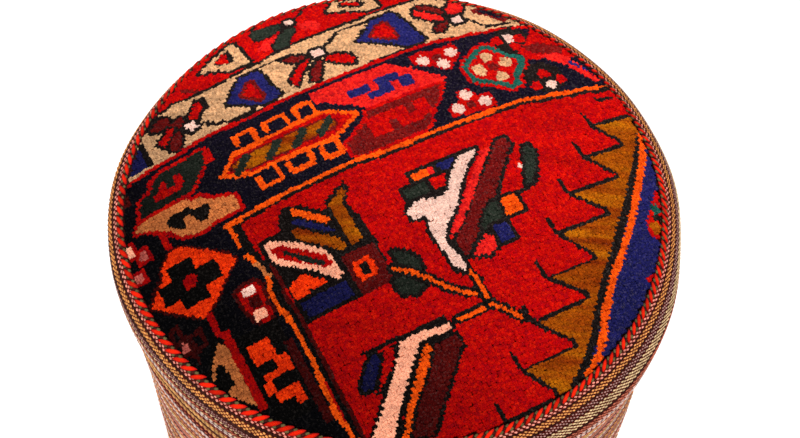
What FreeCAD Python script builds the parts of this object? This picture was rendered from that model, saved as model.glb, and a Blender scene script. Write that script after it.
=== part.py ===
import FreeCAD, Part
import math
import os

V = FreeCAD.Vector
UP = V(0, 0, 1)
ORIGIN = V(0, 0, 0)

# Overall form. Origin at the middle of the base on the floor, +Z up, closing seam at the back (+Y).
rim_d = 400.0            # widest circle, round the rim roll
overall_h = 400.0        # floor to the middle of the crowned rug
crown_h = 24.0           # rise of the rug's middle above its edge
rim_roll_w = 15.8        # width of the striped roll outside the rug, seen from above
rim_overhang = 6.4       # how far the rim roll stands out past the straight side
under_roll_r = 25.0      # round of the rim roll below its widest circle
crease_r = 30.0          # hollow where the roll runs into the straight side

# Cloths and fillings
rug_t = 9.0              # knotted base and pile together
cover_t = 2.0            # flat-woven side cloth
seam_allowance = 14.0    # side cloth turned in under the rug
turn_under = 60.0        # side cloth turned in under the base
wadding_t = 6.0          # fibre layer over the foam
side_wadding_t = 5.0     # fibre layer round the drum
dust_t = 0.6             # black lining under the base
dust_inset = 18.6        # from the straight side to the edge of the lining
thread_d = 0.8           # sewing thread of the rim seam

# Drum
top_board_t = 15.0
bottom_board_t = 15.0
skin_t = 3.0             # hardboard wrapped round the boards
skin_seam_gap = 1.0      # butt joint of the hardboard
post_w = 35.0
post_inset = 10.0        # from the boards' edge to the posts' outer face
post_count = 6

# Wood screws through the boards into the posts
screw_d = 4.0
screw_head_d = 8.0
screw_head_h = 2.4
screw_l = 45.0
screw_tip_l = 5.0
screw_spacing = 16.0     # between the two screws in each end of a post

# Staples
staple_wire = 0.7
staple_w = 10.0
staple_leg = 9.0
wall_staple_count = 12
cover_staple_count = 24
cover_staple_inset = 14.0   # from the raw edge of the turned-under cloth
dust_staple_count = 20
dust_staple_inset = 6.0     # from the edge of the lining

# Glides and their screws
glide_d = 32.0
glide_foot_d = 28.0      # face on the floor
glide_h = 8.0
glide_round = 1.5
glide_inset = 38.6       # from the straight side to a glide's centre
glide_count = 4
glide_screw_d = 3.5
glide_screw_l = 16.0
glide_head_d = 7.0
glide_head_h = 2.5
glide_floor_t = 3.5      # plastic between the screw's head and the lining

# Closing seam of the side cloth
stitch_d = 1.2
stitch_l = 7.0
stitch_pitch = 8.0
stitch_tilt = 55.0       # degrees from the vertical

# Clearances
fit_gap = 0.3            # between curved or soft surfaces that lie together
screw_gap = 0.2          # round screws and staples in their holes
join_tolerance = 1e-6

# Shape of the outer surface: a spherical crown runs smoothly into the rim roll
rim_r = rim_d / 2
wall_r = rim_r - rim_overhang
rug_r = rim_r - rim_roll_w
rug_edge_z = overall_h - crown_h
crown_r = (rug_r ** 2 + crown_h ** 2) / (2 * crown_h)
crown_centre = V(0, 0, overall_h - crown_r)
edge_slope = math.asin(rug_r / crown_r)
edge_angle = math.pi / 2 - edge_slope
roll_r = rim_roll_w / (1 - math.sin(edge_slope))
roll_centre = V(rim_r - roll_r, 0, rug_edge_z - roll_r * math.cos(edge_slope))
under_centre = V(rim_r - under_roll_r, 0, roll_centre.z)
under_angle = math.acos(1 - rim_overhang / (under_roll_r + crease_r))
drum_top_z = roll_centre.z - (under_roll_r + crease_r) * math.sin(under_angle)
crease_centre = V(wall_r + crease_r, 0, drum_top_z)

# Layers from the outside inwards, as depths below the outer surface
wadding_depth = cover_t + fit_gap
allowance_top = rug_t + fit_gap
allowance_bottom = allowance_top + cover_t
below_seam = allowance_bottom + thread_d + 2 * fit_gap
foam_depth = below_seam + wadding_t
allowance_r = rug_r - seam_allowance
leg_start = edge_angle - fit_gap / (roll_r - below_seam)
leg_end = leg_start - cover_t / (roll_r - cover_t)
wadding_start = leg_end - fit_gap / (roll_r - below_seam)

# Heights and radii of the drum
base_z = glide_h + dust_t
bottom_board_z = base_z + cover_t
post_z = bottom_board_z + bottom_board_t
top_board_z = drum_top_z - top_board_t
side_wadding_r = wall_r - wadding_depth
side_wadding_in_r = side_wadding_r - side_wadding_t
skin_r = side_wadding_in_r - staple_wire - fit_gap
skin_in_r = skin_r - skin_t
board_r = skin_in_r - fit_gap
corner_r = wall_r - side_wadding_in_r
foam_r = wall_r - wadding_depth - wadding_t
post_r = board_r - post_inset - post_w / 2
glide_r = wall_r - glide_inset
dust_r = wall_r - dust_inset
turn_under_r = wall_r - turn_under


def ring_angles(count, first=0.0):
    """Angles of an evenly spaced ring, in degrees from +X."""
    return [first + 360.0 * index / count for index in range(count)]


def point(r, z):
    return (V(r, 0, z),)


def arc(centre, radius, start, end):
    """Arc in the section plane, angles in radians from the outward radius."""
    angles = (start, (start + end) / 2, end)
    return tuple(centre + V(radius * math.cos(a), 0, radius * math.sin(a)) for a in angles)


def back_along(stretch):
    return stretch[::-1]


def crown_angle(depth, r):
    """Angle on the crown's sphere, at a depth below the surface, where the radius is r."""
    return math.acos(r / (crown_r - depth))


def crown_arc(depth, start_angle, end_angle):
    return arc(crown_centre, crown_r - depth, start_angle, end_angle)


def rim_stretches(depth, start_angle):
    """Rim roll, under-roll and crease at a depth below the surface, down to the drum's top."""
    return [
        arc(roll_centre, roll_r - depth, start_angle, 0),
        arc(under_centre, under_roll_r - depth, 0, -under_angle),
        arc(crease_centre, crease_r + depth, math.pi - under_angle, math.pi),
    ]


def revolved(stretches):
    """Solid of revolution from points and arcs joined by straight lines."""
    edges = []
    for stretch, following in zip(stretches, stretches[1:] + stretches[:1]):
        if len(stretch) == 3:
            edges.append(Part.Arc(*stretch).toShape())
        if stretch[-1].distanceToPoint(following[0]) > join_tolerance:
            edges.append(Part.makeLine(stretch[-1], following[0]))
    return Part.Face(Part.Wire(edges)).revolve(ORIGIN, UP, 360)


def disc(radius, thickness, z):
    return Part.makeCylinder(radius, thickness, V(0, 0, z))


def turned(shape, degrees):
    copy = shape.copy()
    copy.rotate(ORIGIN, UP, degrees)
    return copy


def ringed(shape, angles):
    return [turned(shape, angle) for angle in angles]


def cut_out(shape, tools):
    return shape.cut(Part.makeCompound(tools)).Solids[0]


def screw(shank_d, length, head_d, head_h, tip_l, gap=0.0):
    """Countersunk screw pointing down, its head's face at z = 0; a gap makes it the hole."""
    grown = [(head_d / 2 + gap, 0), (shank_d / 2 + gap, -head_h), (shank_d / 2 + gap, tip_l - length - gap)]
    return revolved([point(0, 0)] + [point(r, z) for r, z in grown] + [point(0, -length - gap)])


def post_screw(gap=0.0):
    return screw(screw_d, screw_l, screw_head_d, screw_head_h, screw_tip_l, gap)


def screws_down(gap=0.0):
    """The two screws through the top board into the post on +X."""
    places = (post_r - screw_spacing / 2, post_r + screw_spacing / 2)
    return [post_screw(gap).translated(V(r, 0, drum_top_z)) for r in places]


def screws_up(gap=0.0):
    """The two screws through the bottom board into the post on +X."""
    upward = post_screw(gap)
    upward.rotate(ORIGIN, V(1, 0, 0), 180)
    places = (post_r - screw_spacing / 2, post_r + screw_spacing / 2)
    return [upward.translated(V(r, 0, bottom_board_z)) for r in places]


def staple(gap=0.0):
    """Staple with its crown along Y and its legs pointing up, the crown's inner face at z = 0."""
    half, wire, leg = staple_w / 2 + gap, staple_wire + 2 * gap, staple_leg + gap
    outline = [(-half, -staple_wire - gap), (half, -staple_wire - gap), (half, leg), (half - wire, leg),
               (half - wire, gap), (wire - half, gap), (wire - half, leg), (-half, leg)]
    corners = [V(-wire / 2, y, z) for y, z in outline]
    return Part.Face(Part.makePolygon(corners + corners[:1])).extrude(V(wire, 0, 0))


def wall_staple(z, gap=0.0):
    """Staple driven inwards through the hardboard into a board's edge, on +X."""
    inward = staple(gap)
    inward.rotate(ORIGIN, V(0, 1, 0), -90)
    return inward.translated(V(skin_r, 0, z))


def cover_staple(gap=0.0):
    """Staple sunk flush in the turned-under cloth, driven up into the bottom board, on +X."""
    return staple(gap).translated(V(turn_under_r + cover_staple_inset, 0, base_z + staple_wire))


def dust_staple(gap=0.0):
    """Staple across the lining's edge, driven up through cloth and board, on +X."""
    return staple(gap).translated(V(dust_r - dust_staple_inset, 0, glide_h))


def glide_screw(gap=0.0):
    """Screw through a glide, the lining and the cloth into the bottom board, on +X."""
    head_z = glide_h - glide_floor_t
    shank = Part.makeCylinder(glide_screw_d / 2 + gap, glide_screw_l + gap, V(glide_r, 0, head_z))
    head = Part.makeCylinder(glide_head_d / 2 + gap, glide_head_h, V(glide_r, 0, head_z - glide_head_h))
    return shank.fuse(head).removeSplitter()


post_angles = ring_angles(post_count)
wall_staple_angles = ring_angles(wall_staple_count, 180.0 / wall_staple_count)
cover_staple_angles = ring_angles(cover_staple_count, 180.0 / cover_staple_count)
dust_staple_angles = ring_angles(dust_staple_count)
glide_angles = ring_angles(glide_count, 180.0 / glide_count)
top_staple_z = top_board_z + top_board_t / 2
bottom_staple_z = bottom_board_z + bottom_board_t / 2


def ring_of_all(shapes, angles):
    return [turned(shape, angle) for angle in angles for shape in shapes]


def make_rug_top():
    """Crowned disc of knotted rug, its edge square to the surface."""
    return revolved([
        crown_arc(0, math.pi / 2, edge_angle),
        crown_arc(rug_t, edge_angle, math.pi / 2),
    ])


def make_side_cover():
    """Striped cloth from the seam under the rug, over the rim, down the side and under the base."""
    corner = V(wall_r - corner_r, 0, base_z + corner_r)
    outer = rim_stretches(0, leg_start)
    inner = [back_along(stretch) for stretch in reversed(rim_stretches(cover_t, leg_end))]
    shell = revolved(
        outer
        + [arc(corner, corner_r, 0, -math.pi / 2)]
        + [point(turn_under_r, base_z), point(turn_under_r, bottom_board_z)]
        + [arc(corner, corner_r - cover_t, -math.pi / 2, 0)]
        + inner
        + [arc(roll_centre, roll_r - allowance_bottom, leg_end, edge_angle)]
        + [crown_arc(allowance_bottom, edge_angle, crown_angle(allowance_bottom, allowance_r))]
        + [crown_arc(allowance_top, crown_angle(allowance_top, allowance_r), edge_angle)]
        + [arc(roll_centre, roll_r - allowance_top, edge_angle, leg_start)]
    )
    return cut_out(shell, ringed(cover_staple(screw_gap), cover_staple_angles)
                   + ringed(dust_staple(screw_gap), dust_staple_angles)
                   + ringed(glide_screw(screw_gap), glide_angles))


def make_rim_seam_thread():
    """Thread of the rim seam, lying under the turned-in edge of the side cloth."""
    ring_r = rug_r - seam_allowance / 2
    depth = allowance_bottom + fit_gap + thread_d / 2
    ring_z = crown_centre.z + math.sqrt((crown_r - depth) ** 2 - ring_r ** 2)
    return Part.makeTorus(ring_r, thread_d / 2, V(0, 0, ring_z))


def make_top_wadding():
    """Fibre layer over the foam, full under the rug and thick inside the rim roll."""
    step_r = allowance_r - fit_gap
    inside_z = crown_centre.z + math.sqrt((crown_r - foam_depth) ** 2 - foam_r ** 2)
    return revolved(
        [crown_arc(allowance_top, math.pi / 2, crown_angle(allowance_top, step_r))]
        + [crown_arc(below_seam, crown_angle(below_seam, step_r), edge_angle)]
        + [arc(roll_centre, roll_r - below_seam, edge_angle, wadding_start)]
        + rim_stretches(wadding_depth, wadding_start)
        + [point(foam_r, drum_top_z), point(foam_r, inside_z)]
        + [crown_arc(foam_depth, crown_angle(foam_depth, foam_r), math.pi / 2)]
    )


def make_top_foam():
    """Square-cut foam disc with a crowned top, lying on the top board."""
    edge_r = foam_r - fit_gap
    depth = foam_depth + fit_gap
    return revolved([
        crown_arc(depth, math.pi / 2, crown_angle(depth, edge_r)),
        point(edge_r, drum_top_z),
        point(0, drum_top_z),
    ])


def make_side_wadding():
    """Fibre layer between the hardboard and the side cloth, rounded at the base."""
    corner = V(side_wadding_in_r, 0, base_z + corner_r)
    return revolved([
        arc(corner, side_wadding_t, -math.pi / 2, 0),
        point(side_wadding_r, drum_top_z),
        point(side_wadding_in_r, drum_top_z),
    ])


def make_wall_skin():
    """Hardboard wrapped round the two boards, butted at the back."""
    height = drum_top_z - bottom_board_z
    tube = disc(skin_r, height, bottom_board_z).cut(disc(skin_in_r, height, bottom_board_z))
    seam = Part.makeBox(skin_seam_gap, rim_r, height, V(-skin_seam_gap / 2, 0, bottom_board_z))
    holes = [wall_staple(z, screw_gap) for z in (top_staple_z, bottom_staple_z)]
    return cut_out(tube, [seam] + ring_of_all(holes, wall_staple_angles))


def make_top_board():
    return cut_out(disc(board_r, top_board_t, top_board_z),
                   ring_of_all(screws_down(screw_gap), post_angles)
                   + ringed(wall_staple(top_staple_z, screw_gap), wall_staple_angles))


def make_bottom_board():
    return cut_out(disc(board_r, bottom_board_t, bottom_board_z),
                   ring_of_all(screws_up(screw_gap), post_angles)
                   + ringed(wall_staple(bottom_staple_z, screw_gap), wall_staple_angles)
                   + ringed(cover_staple(screw_gap), cover_staple_angles)
                   + ringed(dust_staple(screw_gap), dust_staple_angles)
                   + ringed(glide_screw(screw_gap), glide_angles))


def make_post():
    """Square timber post on +X, drilled for the screws at both ends."""
    height = top_board_z - post_z
    bar = Part.makeBox(post_w, post_w, height, V(post_r - post_w / 2, -post_w / 2, post_z))
    return cut_out(bar, screws_down(screw_gap) + screws_up(screw_gap))


def make_dust_cover():
    """Thin lining under the base, stapled over the raw edge of the side cloth."""
    return cut_out(disc(dust_r, dust_t, glide_h),
                   ringed(dust_staple(screw_gap), dust_staple_angles)
                   + ringed(glide_screw(screw_gap), glide_angles))


def make_glide():
    """Tapered plastic glide on +X with a counterbored screw hole."""
    body = revolved([
        point(0, 0), point(glide_foot_d / 2 - glide_round, 0), point(glide_foot_d / 2, glide_round),
        point(glide_d / 2, glide_h), point(0, glide_h),
    ]).translated(V(glide_r, 0, 0))
    seat_z = glide_h - glide_floor_t
    counterbore = Part.makeCylinder(glide_head_d / 2 + screw_gap, seat_z, V(glide_r, 0, 0))
    return cut_out(body, [glide_screw(screw_gap), counterbore])


def make_side_seam_stitches():
    """Slanting hand stitches that close the side cloth at the back."""
    first_z = base_z + corner_r + stitch_pitch
    count = int((drum_top_z - stitch_pitch - first_z) / stitch_pitch) + 1
    bar = Part.makeCylinder(stitch_d / 2, stitch_l, V(0, 0, -stitch_l / 2))
    bar.rotate(ORIGIN, V(0, 1, 0), stitch_tilt)
    depth = wall_r + fit_gap + stitch_d / 2
    return [bar.translated(V(0, depth, first_z + stitch_pitch * index)) for index in range(count)]


nodes = {
    "rug_top": make_rug_top(),
    "side_cover": make_side_cover(),
    "rim_seam_thread": make_rim_seam_thread(),
    "side_seam_stitches": Part.makeCompound(make_side_seam_stitches()),
    "top_wadding": make_top_wadding(),
    "top_foam": make_top_foam(),
    "side_wadding": make_side_wadding(),
    "wall_skin": make_wall_skin(),
    "top_board": make_top_board(),
    "bottom_board": make_bottom_board(),
    "top_screws": Part.makeCompound(ring_of_all(screws_down(), post_angles)),
    "bottom_screws": Part.makeCompound(ring_of_all(screws_up(), post_angles)),
    "wall_staples_top": Part.makeCompound(ringed(wall_staple(top_staple_z), wall_staple_angles)),
    "wall_staples_bottom": Part.makeCompound(ringed(wall_staple(bottom_staple_z), wall_staple_angles)),
    "cover_staples": Part.makeCompound(ringed(cover_staple(), cover_staple_angles)),
    "dust_cover": make_dust_cover(),
    "dust_cover_staples": Part.makeCompound(ringed(dust_staple(), dust_staple_angles)),
    "glide_screws": Part.makeCompound(ringed(glide_screw(), glide_angles)),
}
for number, angle in enumerate(post_angles, start=1):
    nodes[f"post_{number}"] = turned(make_post(), angle)
for number, angle in enumerate(glide_angles, start=1):
    nodes[f"glide_{number}"] = turned(make_glide(), angle)

os.makedirs("parts", exist_ok=True)
for name, shape in nodes.items():
    shape.exportStep(f"parts/{name}.step")
    print(name, len(shape.Solids), "solids,", round(shape.Volume), "mm3, valid", shape.isValid())
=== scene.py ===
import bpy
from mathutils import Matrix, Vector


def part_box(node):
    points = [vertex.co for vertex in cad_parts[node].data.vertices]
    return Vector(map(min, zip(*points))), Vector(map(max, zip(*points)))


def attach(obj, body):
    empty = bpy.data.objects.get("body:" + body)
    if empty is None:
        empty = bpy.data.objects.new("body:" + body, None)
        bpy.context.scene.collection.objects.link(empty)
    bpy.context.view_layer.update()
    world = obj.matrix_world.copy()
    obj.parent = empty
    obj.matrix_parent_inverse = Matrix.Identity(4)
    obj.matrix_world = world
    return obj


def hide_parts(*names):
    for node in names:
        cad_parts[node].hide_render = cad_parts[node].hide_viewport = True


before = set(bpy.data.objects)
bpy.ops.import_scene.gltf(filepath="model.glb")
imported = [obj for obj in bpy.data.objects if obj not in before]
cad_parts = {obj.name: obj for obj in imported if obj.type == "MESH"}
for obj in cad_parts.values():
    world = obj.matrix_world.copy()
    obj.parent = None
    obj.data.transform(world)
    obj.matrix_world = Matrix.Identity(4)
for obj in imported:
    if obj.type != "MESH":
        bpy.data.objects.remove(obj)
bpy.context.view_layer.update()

import math

import bpy
import numpy as np
from bpy.props import FloatProperty, FloatVectorProperty, IntProperty, PointerProperty
from bpy.types import Operator, Panel, PropertyGroup
from mathutils import Matrix, Vector

bl_info = {
    "name": "Rug Pouf",
    "version": (1, 0, 0),
    "blender": (4, 5, 0),
    "location": "3D View > Sidebar > Rug Pouf",
    "description": "Dresses the pouf's frame with its rug seat, striped side cloth, fillings and fittings",
    "category": "Object",
}

MM = 0.001
BODY = "root"
RUG_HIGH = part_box("rug_top")[1]
CLOTH_LOW, CLOTH_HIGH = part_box("side_cover")
STITCH_LOW, STITCH_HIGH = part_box("side_seam_stitches")
BAKE_MAP = "OFBake"      # laid flat piece by piece, so that thousands of tufts share one map
WEAVE_MAP = "weave"      # floats along the cloth, rows across it
FULL_TURN = 2 * math.pi


def linear(code):
    """Linear colour of a six-digit sRGB code."""
    shares = [int(code[at:at + 2], 16) / 255 for at in (0, 2, 4)]
    return tuple(c / 12.92 if c <= 0.04045 else ((c + 0.055) / 1.055) ** 2.4 for c in shares)


def length(name, default, description):
    return FloatProperty(name=name, description=description, default=default, min=0.0, unit="LENGTH",
                         precision=5)


def angle(name, default, description):
    return FloatProperty(name=name, description=description, default=math.radians(default), subtype="ANGLE")


def colour(name, code, description):
    return FloatVectorProperty(name=name, description=description, default=linear(code), size=3, min=0.0,
                               max=1.0, subtype="COLOR")


def brightness(name, default, description):
    return FloatProperty(name=name, description=description, default=default, min=0.0)


class PoufSizes(PropertyGroup):
    """Sizes of the soft pieces; what the frame fixes is read from the frame."""

    rug_radius: length("Rug radius", RUG_HIGH.x, "Half the width of the rug round")
    crown: length("Crown", 24 * MM, "Rise of the rug's middle above its edge")
    pile: length("Pile", 6 * MM, "Height of the tufts above the woven base")
    base_cloth: length("Base cloth", 2.4 * MM, "Thickness of the rug's woven base")
    knot: length("Knot", 3 * MM, "Pitch of the knots")
    tuft_width: length("Tuft width", 1.45 * MM, "Half the width of one of the four tufts of a knot")
    rug_turn: angle("Rug turn", 29, "Turn of the rug's rows against the frame's X axis")
    under_roll: length("Under roll", 60 * MM, "Round of the rim roll below its widest circle")
    crease: length("Crease", 80 * MM, "Hollow where the rim roll runs into the straight side")
    overhang: length("Overhang", 6.4 * MM, "How far the rim roll stands out past the straight side")
    corner: length("Corner", 7.3 * MM, "Round of the bottom edge")
    turn_under: length("Turn under", 52 * MM, "Side cloth on the underside")
    cloth: length("Side cloth", 2 * MM, "Thickness of the striped cloth")
    seam_tuck: length("Seam tuck", 5 * MM, "Side cloth turned down into the rim seam")
    float_pitch: length("Float pitch", 4.2 * MM, "From one float of a chain row to the next")
    bar_pitch: length("Bar pitch", 6.9 * MM, "From one slanting bar of the rim to the next, at the right")
    left_bar_pitch: length("Left bar pitch", 8.4 * MM, "The same at the left")
    segments: IntProperty(name="Segments", description="Faces round the side cloth", default=192, min=48)


class PoufDyes(PropertyGroup):
    """Dyes of the rug's wool."""

    red: colour("Field red", "CA0505", "Madder red of the field")
    crimson: colour("Crimson", "EA221E", "Bright red of the lozenge and petals")
    maroon: colour("Maroon", "761110", "Dark red")
    navy: colour("Navy", "140F1F", "Ground of the borders")
    blue: colour("Blue", "222262", "Corner and triangles")
    orange: colour("Orange", "FF5A0C", "Lines and hooks")
    vermilion: colour("Vermilion", "FF3A08", "Octagon and hooked figure")
    tan: colour("Tan", "E3AF80", "Ground of the flower band")
    camel: colour("Camel", "EA8648", "Lozenge and leaf of the left border")
    pink: colour("Pink", "FCAE8C", "Pale stripe of the lower flower")
    salmon: colour("Salmon", "EE7466", "Small squares of the left border")
    ivory: colour("Ivory", "FACDBB", "Blossoms and pale stripe")
    mustard: colour("Mustard", "A84805", "Serrated band")
    green: colour("Green", "282F26", "Leaves")
    teal: colour("Teal", "1C5A4E", "Ring of the rosette")
    dark: colour("Dark brown", "1F1715", "Outlines")


class PoufYarns(PropertyGroup):
    """Yarns of the side cloth."""

    scarlet: colour("Scarlet", "F82604", "Slanting bars of the rim")
    olive: colour("Olive", "665C38", "Checks between the bars")
    black: colour("Black brown", "401A12", "Ground rows")
    maroon: colour("Maroon", "661810", "Ground of the chains")
    pink: colour("Pink", "FFA48E", "Pink chain")
    gold: colour("Gold", "FCB062", "Gold chain")
    mauve: colour("Mauve", "CCA296", "Dotted rows")
    cream: colour("Cream", "FCE0A8", "Wide chain")
    rust: colour("Rust", "DC8062", "Rows of the side")
    white: colour("White", "FFECDE", "Thin lines")
    rose: colour("Rose brown", "C48474", "Broad rows of the side")
    tan: colour("Tan", "FFC97C", "Rows of the side")


class PoufStage(PropertyGroup):
    """Camera, lamps and floor."""

    lens: FloatProperty(name="Lens", description="Focal length, 36 mm sensor", default=65.5, unit="CAMERA")
    distance: length("Distance", 996.5 * MM, "From the camera to the rug")
    elevation: angle("Elevation", 57.21, "Camera above the horizon")
    roll: angle("Roll", 1.0, "Camera turned about its own axis")
    key: brightness("Key", 1.42, "Strength of the soft main lamp")
    fill: brightness("Fill", 2.0, "Strength of the soft low lamp in front")
    side: brightness("Side", 0.45, "Strength of the soft lamp at the right")
    sky: brightness("Sky", 0.54, "Strength of the even light from all round")
    floor: colour("Floor", "E9E9E9", "Pale floor")


def ball_radius(half_width, rise):
    """Radius of the ball that a low dome is cut from."""
    return (half_width ** 2 + rise ** 2) / (2 * rise)


# Side cloth: the line down its outer face, from the edge of the rug to the underside

ROLL_RUNS = 3                    # the runs of the line that lie above the straight wall


def runs(sizes):
    """Start, slope and runs (length, curvature) of the cloth's line; curvature above 0 turns inwards."""
    slope = math.asin(sizes.rug_radius / ball_radius(sizes.rug_radius, sizes.crown))
    roll_width = CLOTH_HIGH.x - sizes.rug_radius
    roll = roll_width / (1 - math.sin(slope))
    edge_z = RUG_HIGH.z - sizes.crown
    hollow = math.acos(1 - sizes.overhang / (sizes.under_roll + sizes.crease))
    drop = roll * math.cos(slope) + (sizes.under_roll + sizes.crease) * math.sin(hollow)
    wall = edge_z - drop - CLOTH_LOW.z - sizes.corner
    return (sizes.rug_radius, edge_z), -slope, (
        (roll * (math.pi / 2 - slope), 1 / roll),
        (sizes.under_roll * hollow, 1 / sizes.under_roll),
        (sizes.crease * hollow, -1 / sizes.crease),
        (wall, 0.0),
        (sizes.corner * math.pi / 2, 1 / sizes.corner),
        (sizes.turn_under, 0.0),
    )


def line_down(sizes, s):
    """Points (r, z) and headings of the side cloth's line at the distances s from the rug's edge."""
    (r, z), heading, parts = runs(sizes)
    s = np.asarray(s, float)
    tuck = np.minimum(s, 0.0)
    radius = r - tuck * math.sin(heading)
    height = z + tuck * math.cos(heading)
    headings = np.full(s.shape, heading)
    begun = 0.0
    for part, curve in parts:
        here = s > begun
        along = np.clip(s - begun, 0.0, part)
        bent = heading - curve * along
        if curve:
            dr = (math.sin(heading) - np.sin(bent)) / curve
            dz = (np.cos(bent) - math.cos(heading)) / curve
        else:
            dr = along * math.cos(heading)
            dz = along * math.sin(heading)
        radius = np.where(here, r + dr, radius)
        height = np.where(here, z + dz, height)
        headings = np.where(here, bent, headings)
        end = heading - curve * part
        if curve:
            r += (math.sin(heading) - math.sin(end)) / curve
            z += (math.cos(end) - math.cos(heading)) / curve
        else:
            r += part * math.cos(heading)
            z += part * math.sin(heading)
        heading = end
        begun += part
    return radius, height, headings


def line_length(sizes, count=None):
    """Length of the first runs of the line, or of all."""
    return sum(part for part, _ in runs(sizes)[2][:count])


# Hand work at every eighth of a turn, from the right round by the back: how far the stuffed rim and side
# stand out, how far the cut rug goes past its circle, how far down the cloth its first row begins, and
# how much wider its upper rows are drawn
RIM_FULLNESS = np.array((-0.5, -1, -6, -4, 1.3, -6.5, 2.5, 6)) * MM
SIDE_FULLNESS = np.array((-4.5, -2, -1, -1, -5, 3, 8, 4)) * MM
RUG_REACH = np.array((-0.4, 1, 2, 3.5, 3.5, 1, 0, 0)) * MM
ROW_SHIFT = np.array((-0.8, -4, 0.5, 2.5, 3.2, 0.3, 0, 0)) * MM
ROW_EASE = np.array((0, 0, 0, 0.1, 0.18, 0, 0, 0))
FULL_FROM = 22 * MM              # distance from the rug's edge at which the fullness is all there
SIDE_FROM = 24 * MM              # where the rim's fullness starts to give way to the side's
SIDE_BLEND = 40 * MM             # over which it does so
FOOT_FADE = 220 * MM             # above the bottom edge, where the side runs back to its even line
WAVE_FADE = 7                    # how many times later its small waves do so
WAVES = ((0.45, 7, 30, 0.0), (0.35, 13, -45, 1.0))   # height in mm, waves in a turn, slant, start


def round_about(values, theta):
    """Values at equal steps of the turn, eased from one to the next."""
    at = np.asarray(theta) / FULL_TURN * len(values) % len(values)
    step = np.floor(at).astype(int) % len(values)
    share = at - np.floor(at)
    share = share * share * (3 - 2 * share)
    return values[step] * (1 - share) + values[(step + 1) % len(values)] * share


def unevenness(sizes, theta, s):
    """How far the padded cloth stands out or in of its even line, by hand work."""
    total = line_length(sizes) - sizes.turn_under - sizes.corner
    rise = np.clip(s / FULL_FROM, 0.0, 1.0)
    below = np.clip((s - SIDE_FROM) / SIDE_BLEND, 0.0, 1.0)
    fade = np.clip((total - s) / FOOT_FADE, 0.0, 1.0)
    side = round_about(SIDE_FULLNESS, theta) * fade
    waves = sum(height * np.sin(turns * theta + slant * s + start) for height, turns, slant, start in WAVES)
    fullness = round_about(RIM_FULLNESS, theta) * (1 - below) + side * below
    return (fullness + waves * MM * np.clip(fade * WAVE_FADE, 0.0, 1.0)) * rise


def on_cloth(sizes, theta, s, lift=0.0):
    """Points on the side cloth and the axes there: along the rows, up towards the rug, and outwards."""
    r, z, heading = line_down(sizes, s)
    out = lift + unevenness(sizes, theta, s)
    ahead, away = np.cos(heading), -np.sin(heading)
    r = r + out * away
    z = z + out * ahead
    cos, sin = np.cos(theta), np.sin(theta)
    points = np.stack([r * cos, r * sin, z], -1)
    rows = np.stack([-sin, cos, np.zeros_like(cos)], -1)
    up = np.stack([-ahead * cos, -ahead * sin, away], -1)
    normal = np.stack([away * cos, away * sin, ahead], -1)
    return points, np.stack([rows, up, normal], -2)


def turned(axes, turn):
    """The same axes turned about the outward one."""
    cos, sin = np.cos(turn)[:, None], np.sin(turn)[:, None]
    first = axes[:, 0] * cos + axes[:, 1] * sin
    second = axes[:, 1] * cos - axes[:, 0] * sin
    return np.stack([first, second, axes[:, 2]], 1)


# Meshes

LATHE_STEPS = 96                 # steps round a turned piece
SMOOTH_ANGLE = math.radians(40)  # edges of a turned piece that are sharper than this stay sharp
WELD = 0.01 * MM                 # points closer than this are one


def from_arrays(name, points, corners, starts):
    """A new mesh object from arrays of points, face corners and the first corner of each face."""
    mesh = bpy.data.meshes.new(name)
    mesh.vertices.add(len(points))
    mesh.vertices.foreach_set("co", np.asarray(points, np.float32).ravel())
    mesh.loops.add(len(corners))
    mesh.loops.foreach_set("vertex_index", np.asarray(corners, np.int32))
    mesh.polygons.add(len(starts))
    mesh.polygons.foreach_set("loop_start", np.asarray(starts, np.int32))
    mesh.polygons.foreach_set("use_smooth", np.ones(len(starts), bool))
    mesh.update(calc_edges=True)
    obj = bpy.data.objects.new(name, mesh)
    bpy.context.scene.collection.objects.link(obj)
    return obj


def points_of(mesh):
    points = np.empty(len(mesh.vertices) * 3)
    mesh.vertices.foreach_get("co", points)
    return points.reshape(-1, 3)


def corners_of(mesh):
    corners = np.empty(len(mesh.loops), np.int32)
    mesh.loops.foreach_get("vertex_index", corners)
    return corners


def add_map(obj, name, uv):
    """A UV map from one pair for each point of the mesh."""
    layer = obj.data.uv_layers.new(name=name)
    layer.uv.foreach_set("vector", np.asarray(uv, np.float32)[corners_of(obj.data)].ravel())


def add_values(obj, name, values):
    layer = obj.data.attributes.new(name, "FLOAT", "POINT")
    layer.data.foreach_set("value", np.asarray(values, np.float32))


def fresh():
    """Nothing selected, in object mode."""
    if bpy.context.object and bpy.context.object.mode != "OBJECT":
        bpy.ops.object.mode_set(mode="OBJECT")
    bpy.ops.object.select_all(action="DESELECT")


def take_template(obj):
    """Points, faces' corners and first corners of a small model, which is then removed."""
    mesh = obj.data
    points, corners = points_of(mesh), corners_of(mesh)
    starts = np.empty(len(mesh.polygons), np.int32)
    mesh.polygons.foreach_get("loop_start", starts)
    bpy.data.objects.remove(obj)
    bpy.data.meshes.remove(mesh)
    return points, corners, starts


def copies(name, template, origins, axes, shades):
    """One mesh with a copy of the template at every origin, turned and scaled by its axes."""
    points, corners, starts = template
    count = len(origins)
    placed = origins[:, None] + np.einsum("pk,nkc->npc", points, axes)
    shift = np.arange(count)[:, None]
    obj = from_arrays(name, placed.reshape(-1, 3), (corners[None] + shift * len(points)).ravel(),
                      (starts[None] + shift * len(corners)).ravel())
    add_values(obj, "shade", np.repeat(shades, len(points)))
    return obj


def dome(middle, ball, radii):
    """Points (r, z) on a ball whose middle is on the axis."""
    return [(r, middle + math.sqrt(ball ** 2 - r ** 2)) for r in radii]


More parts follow.
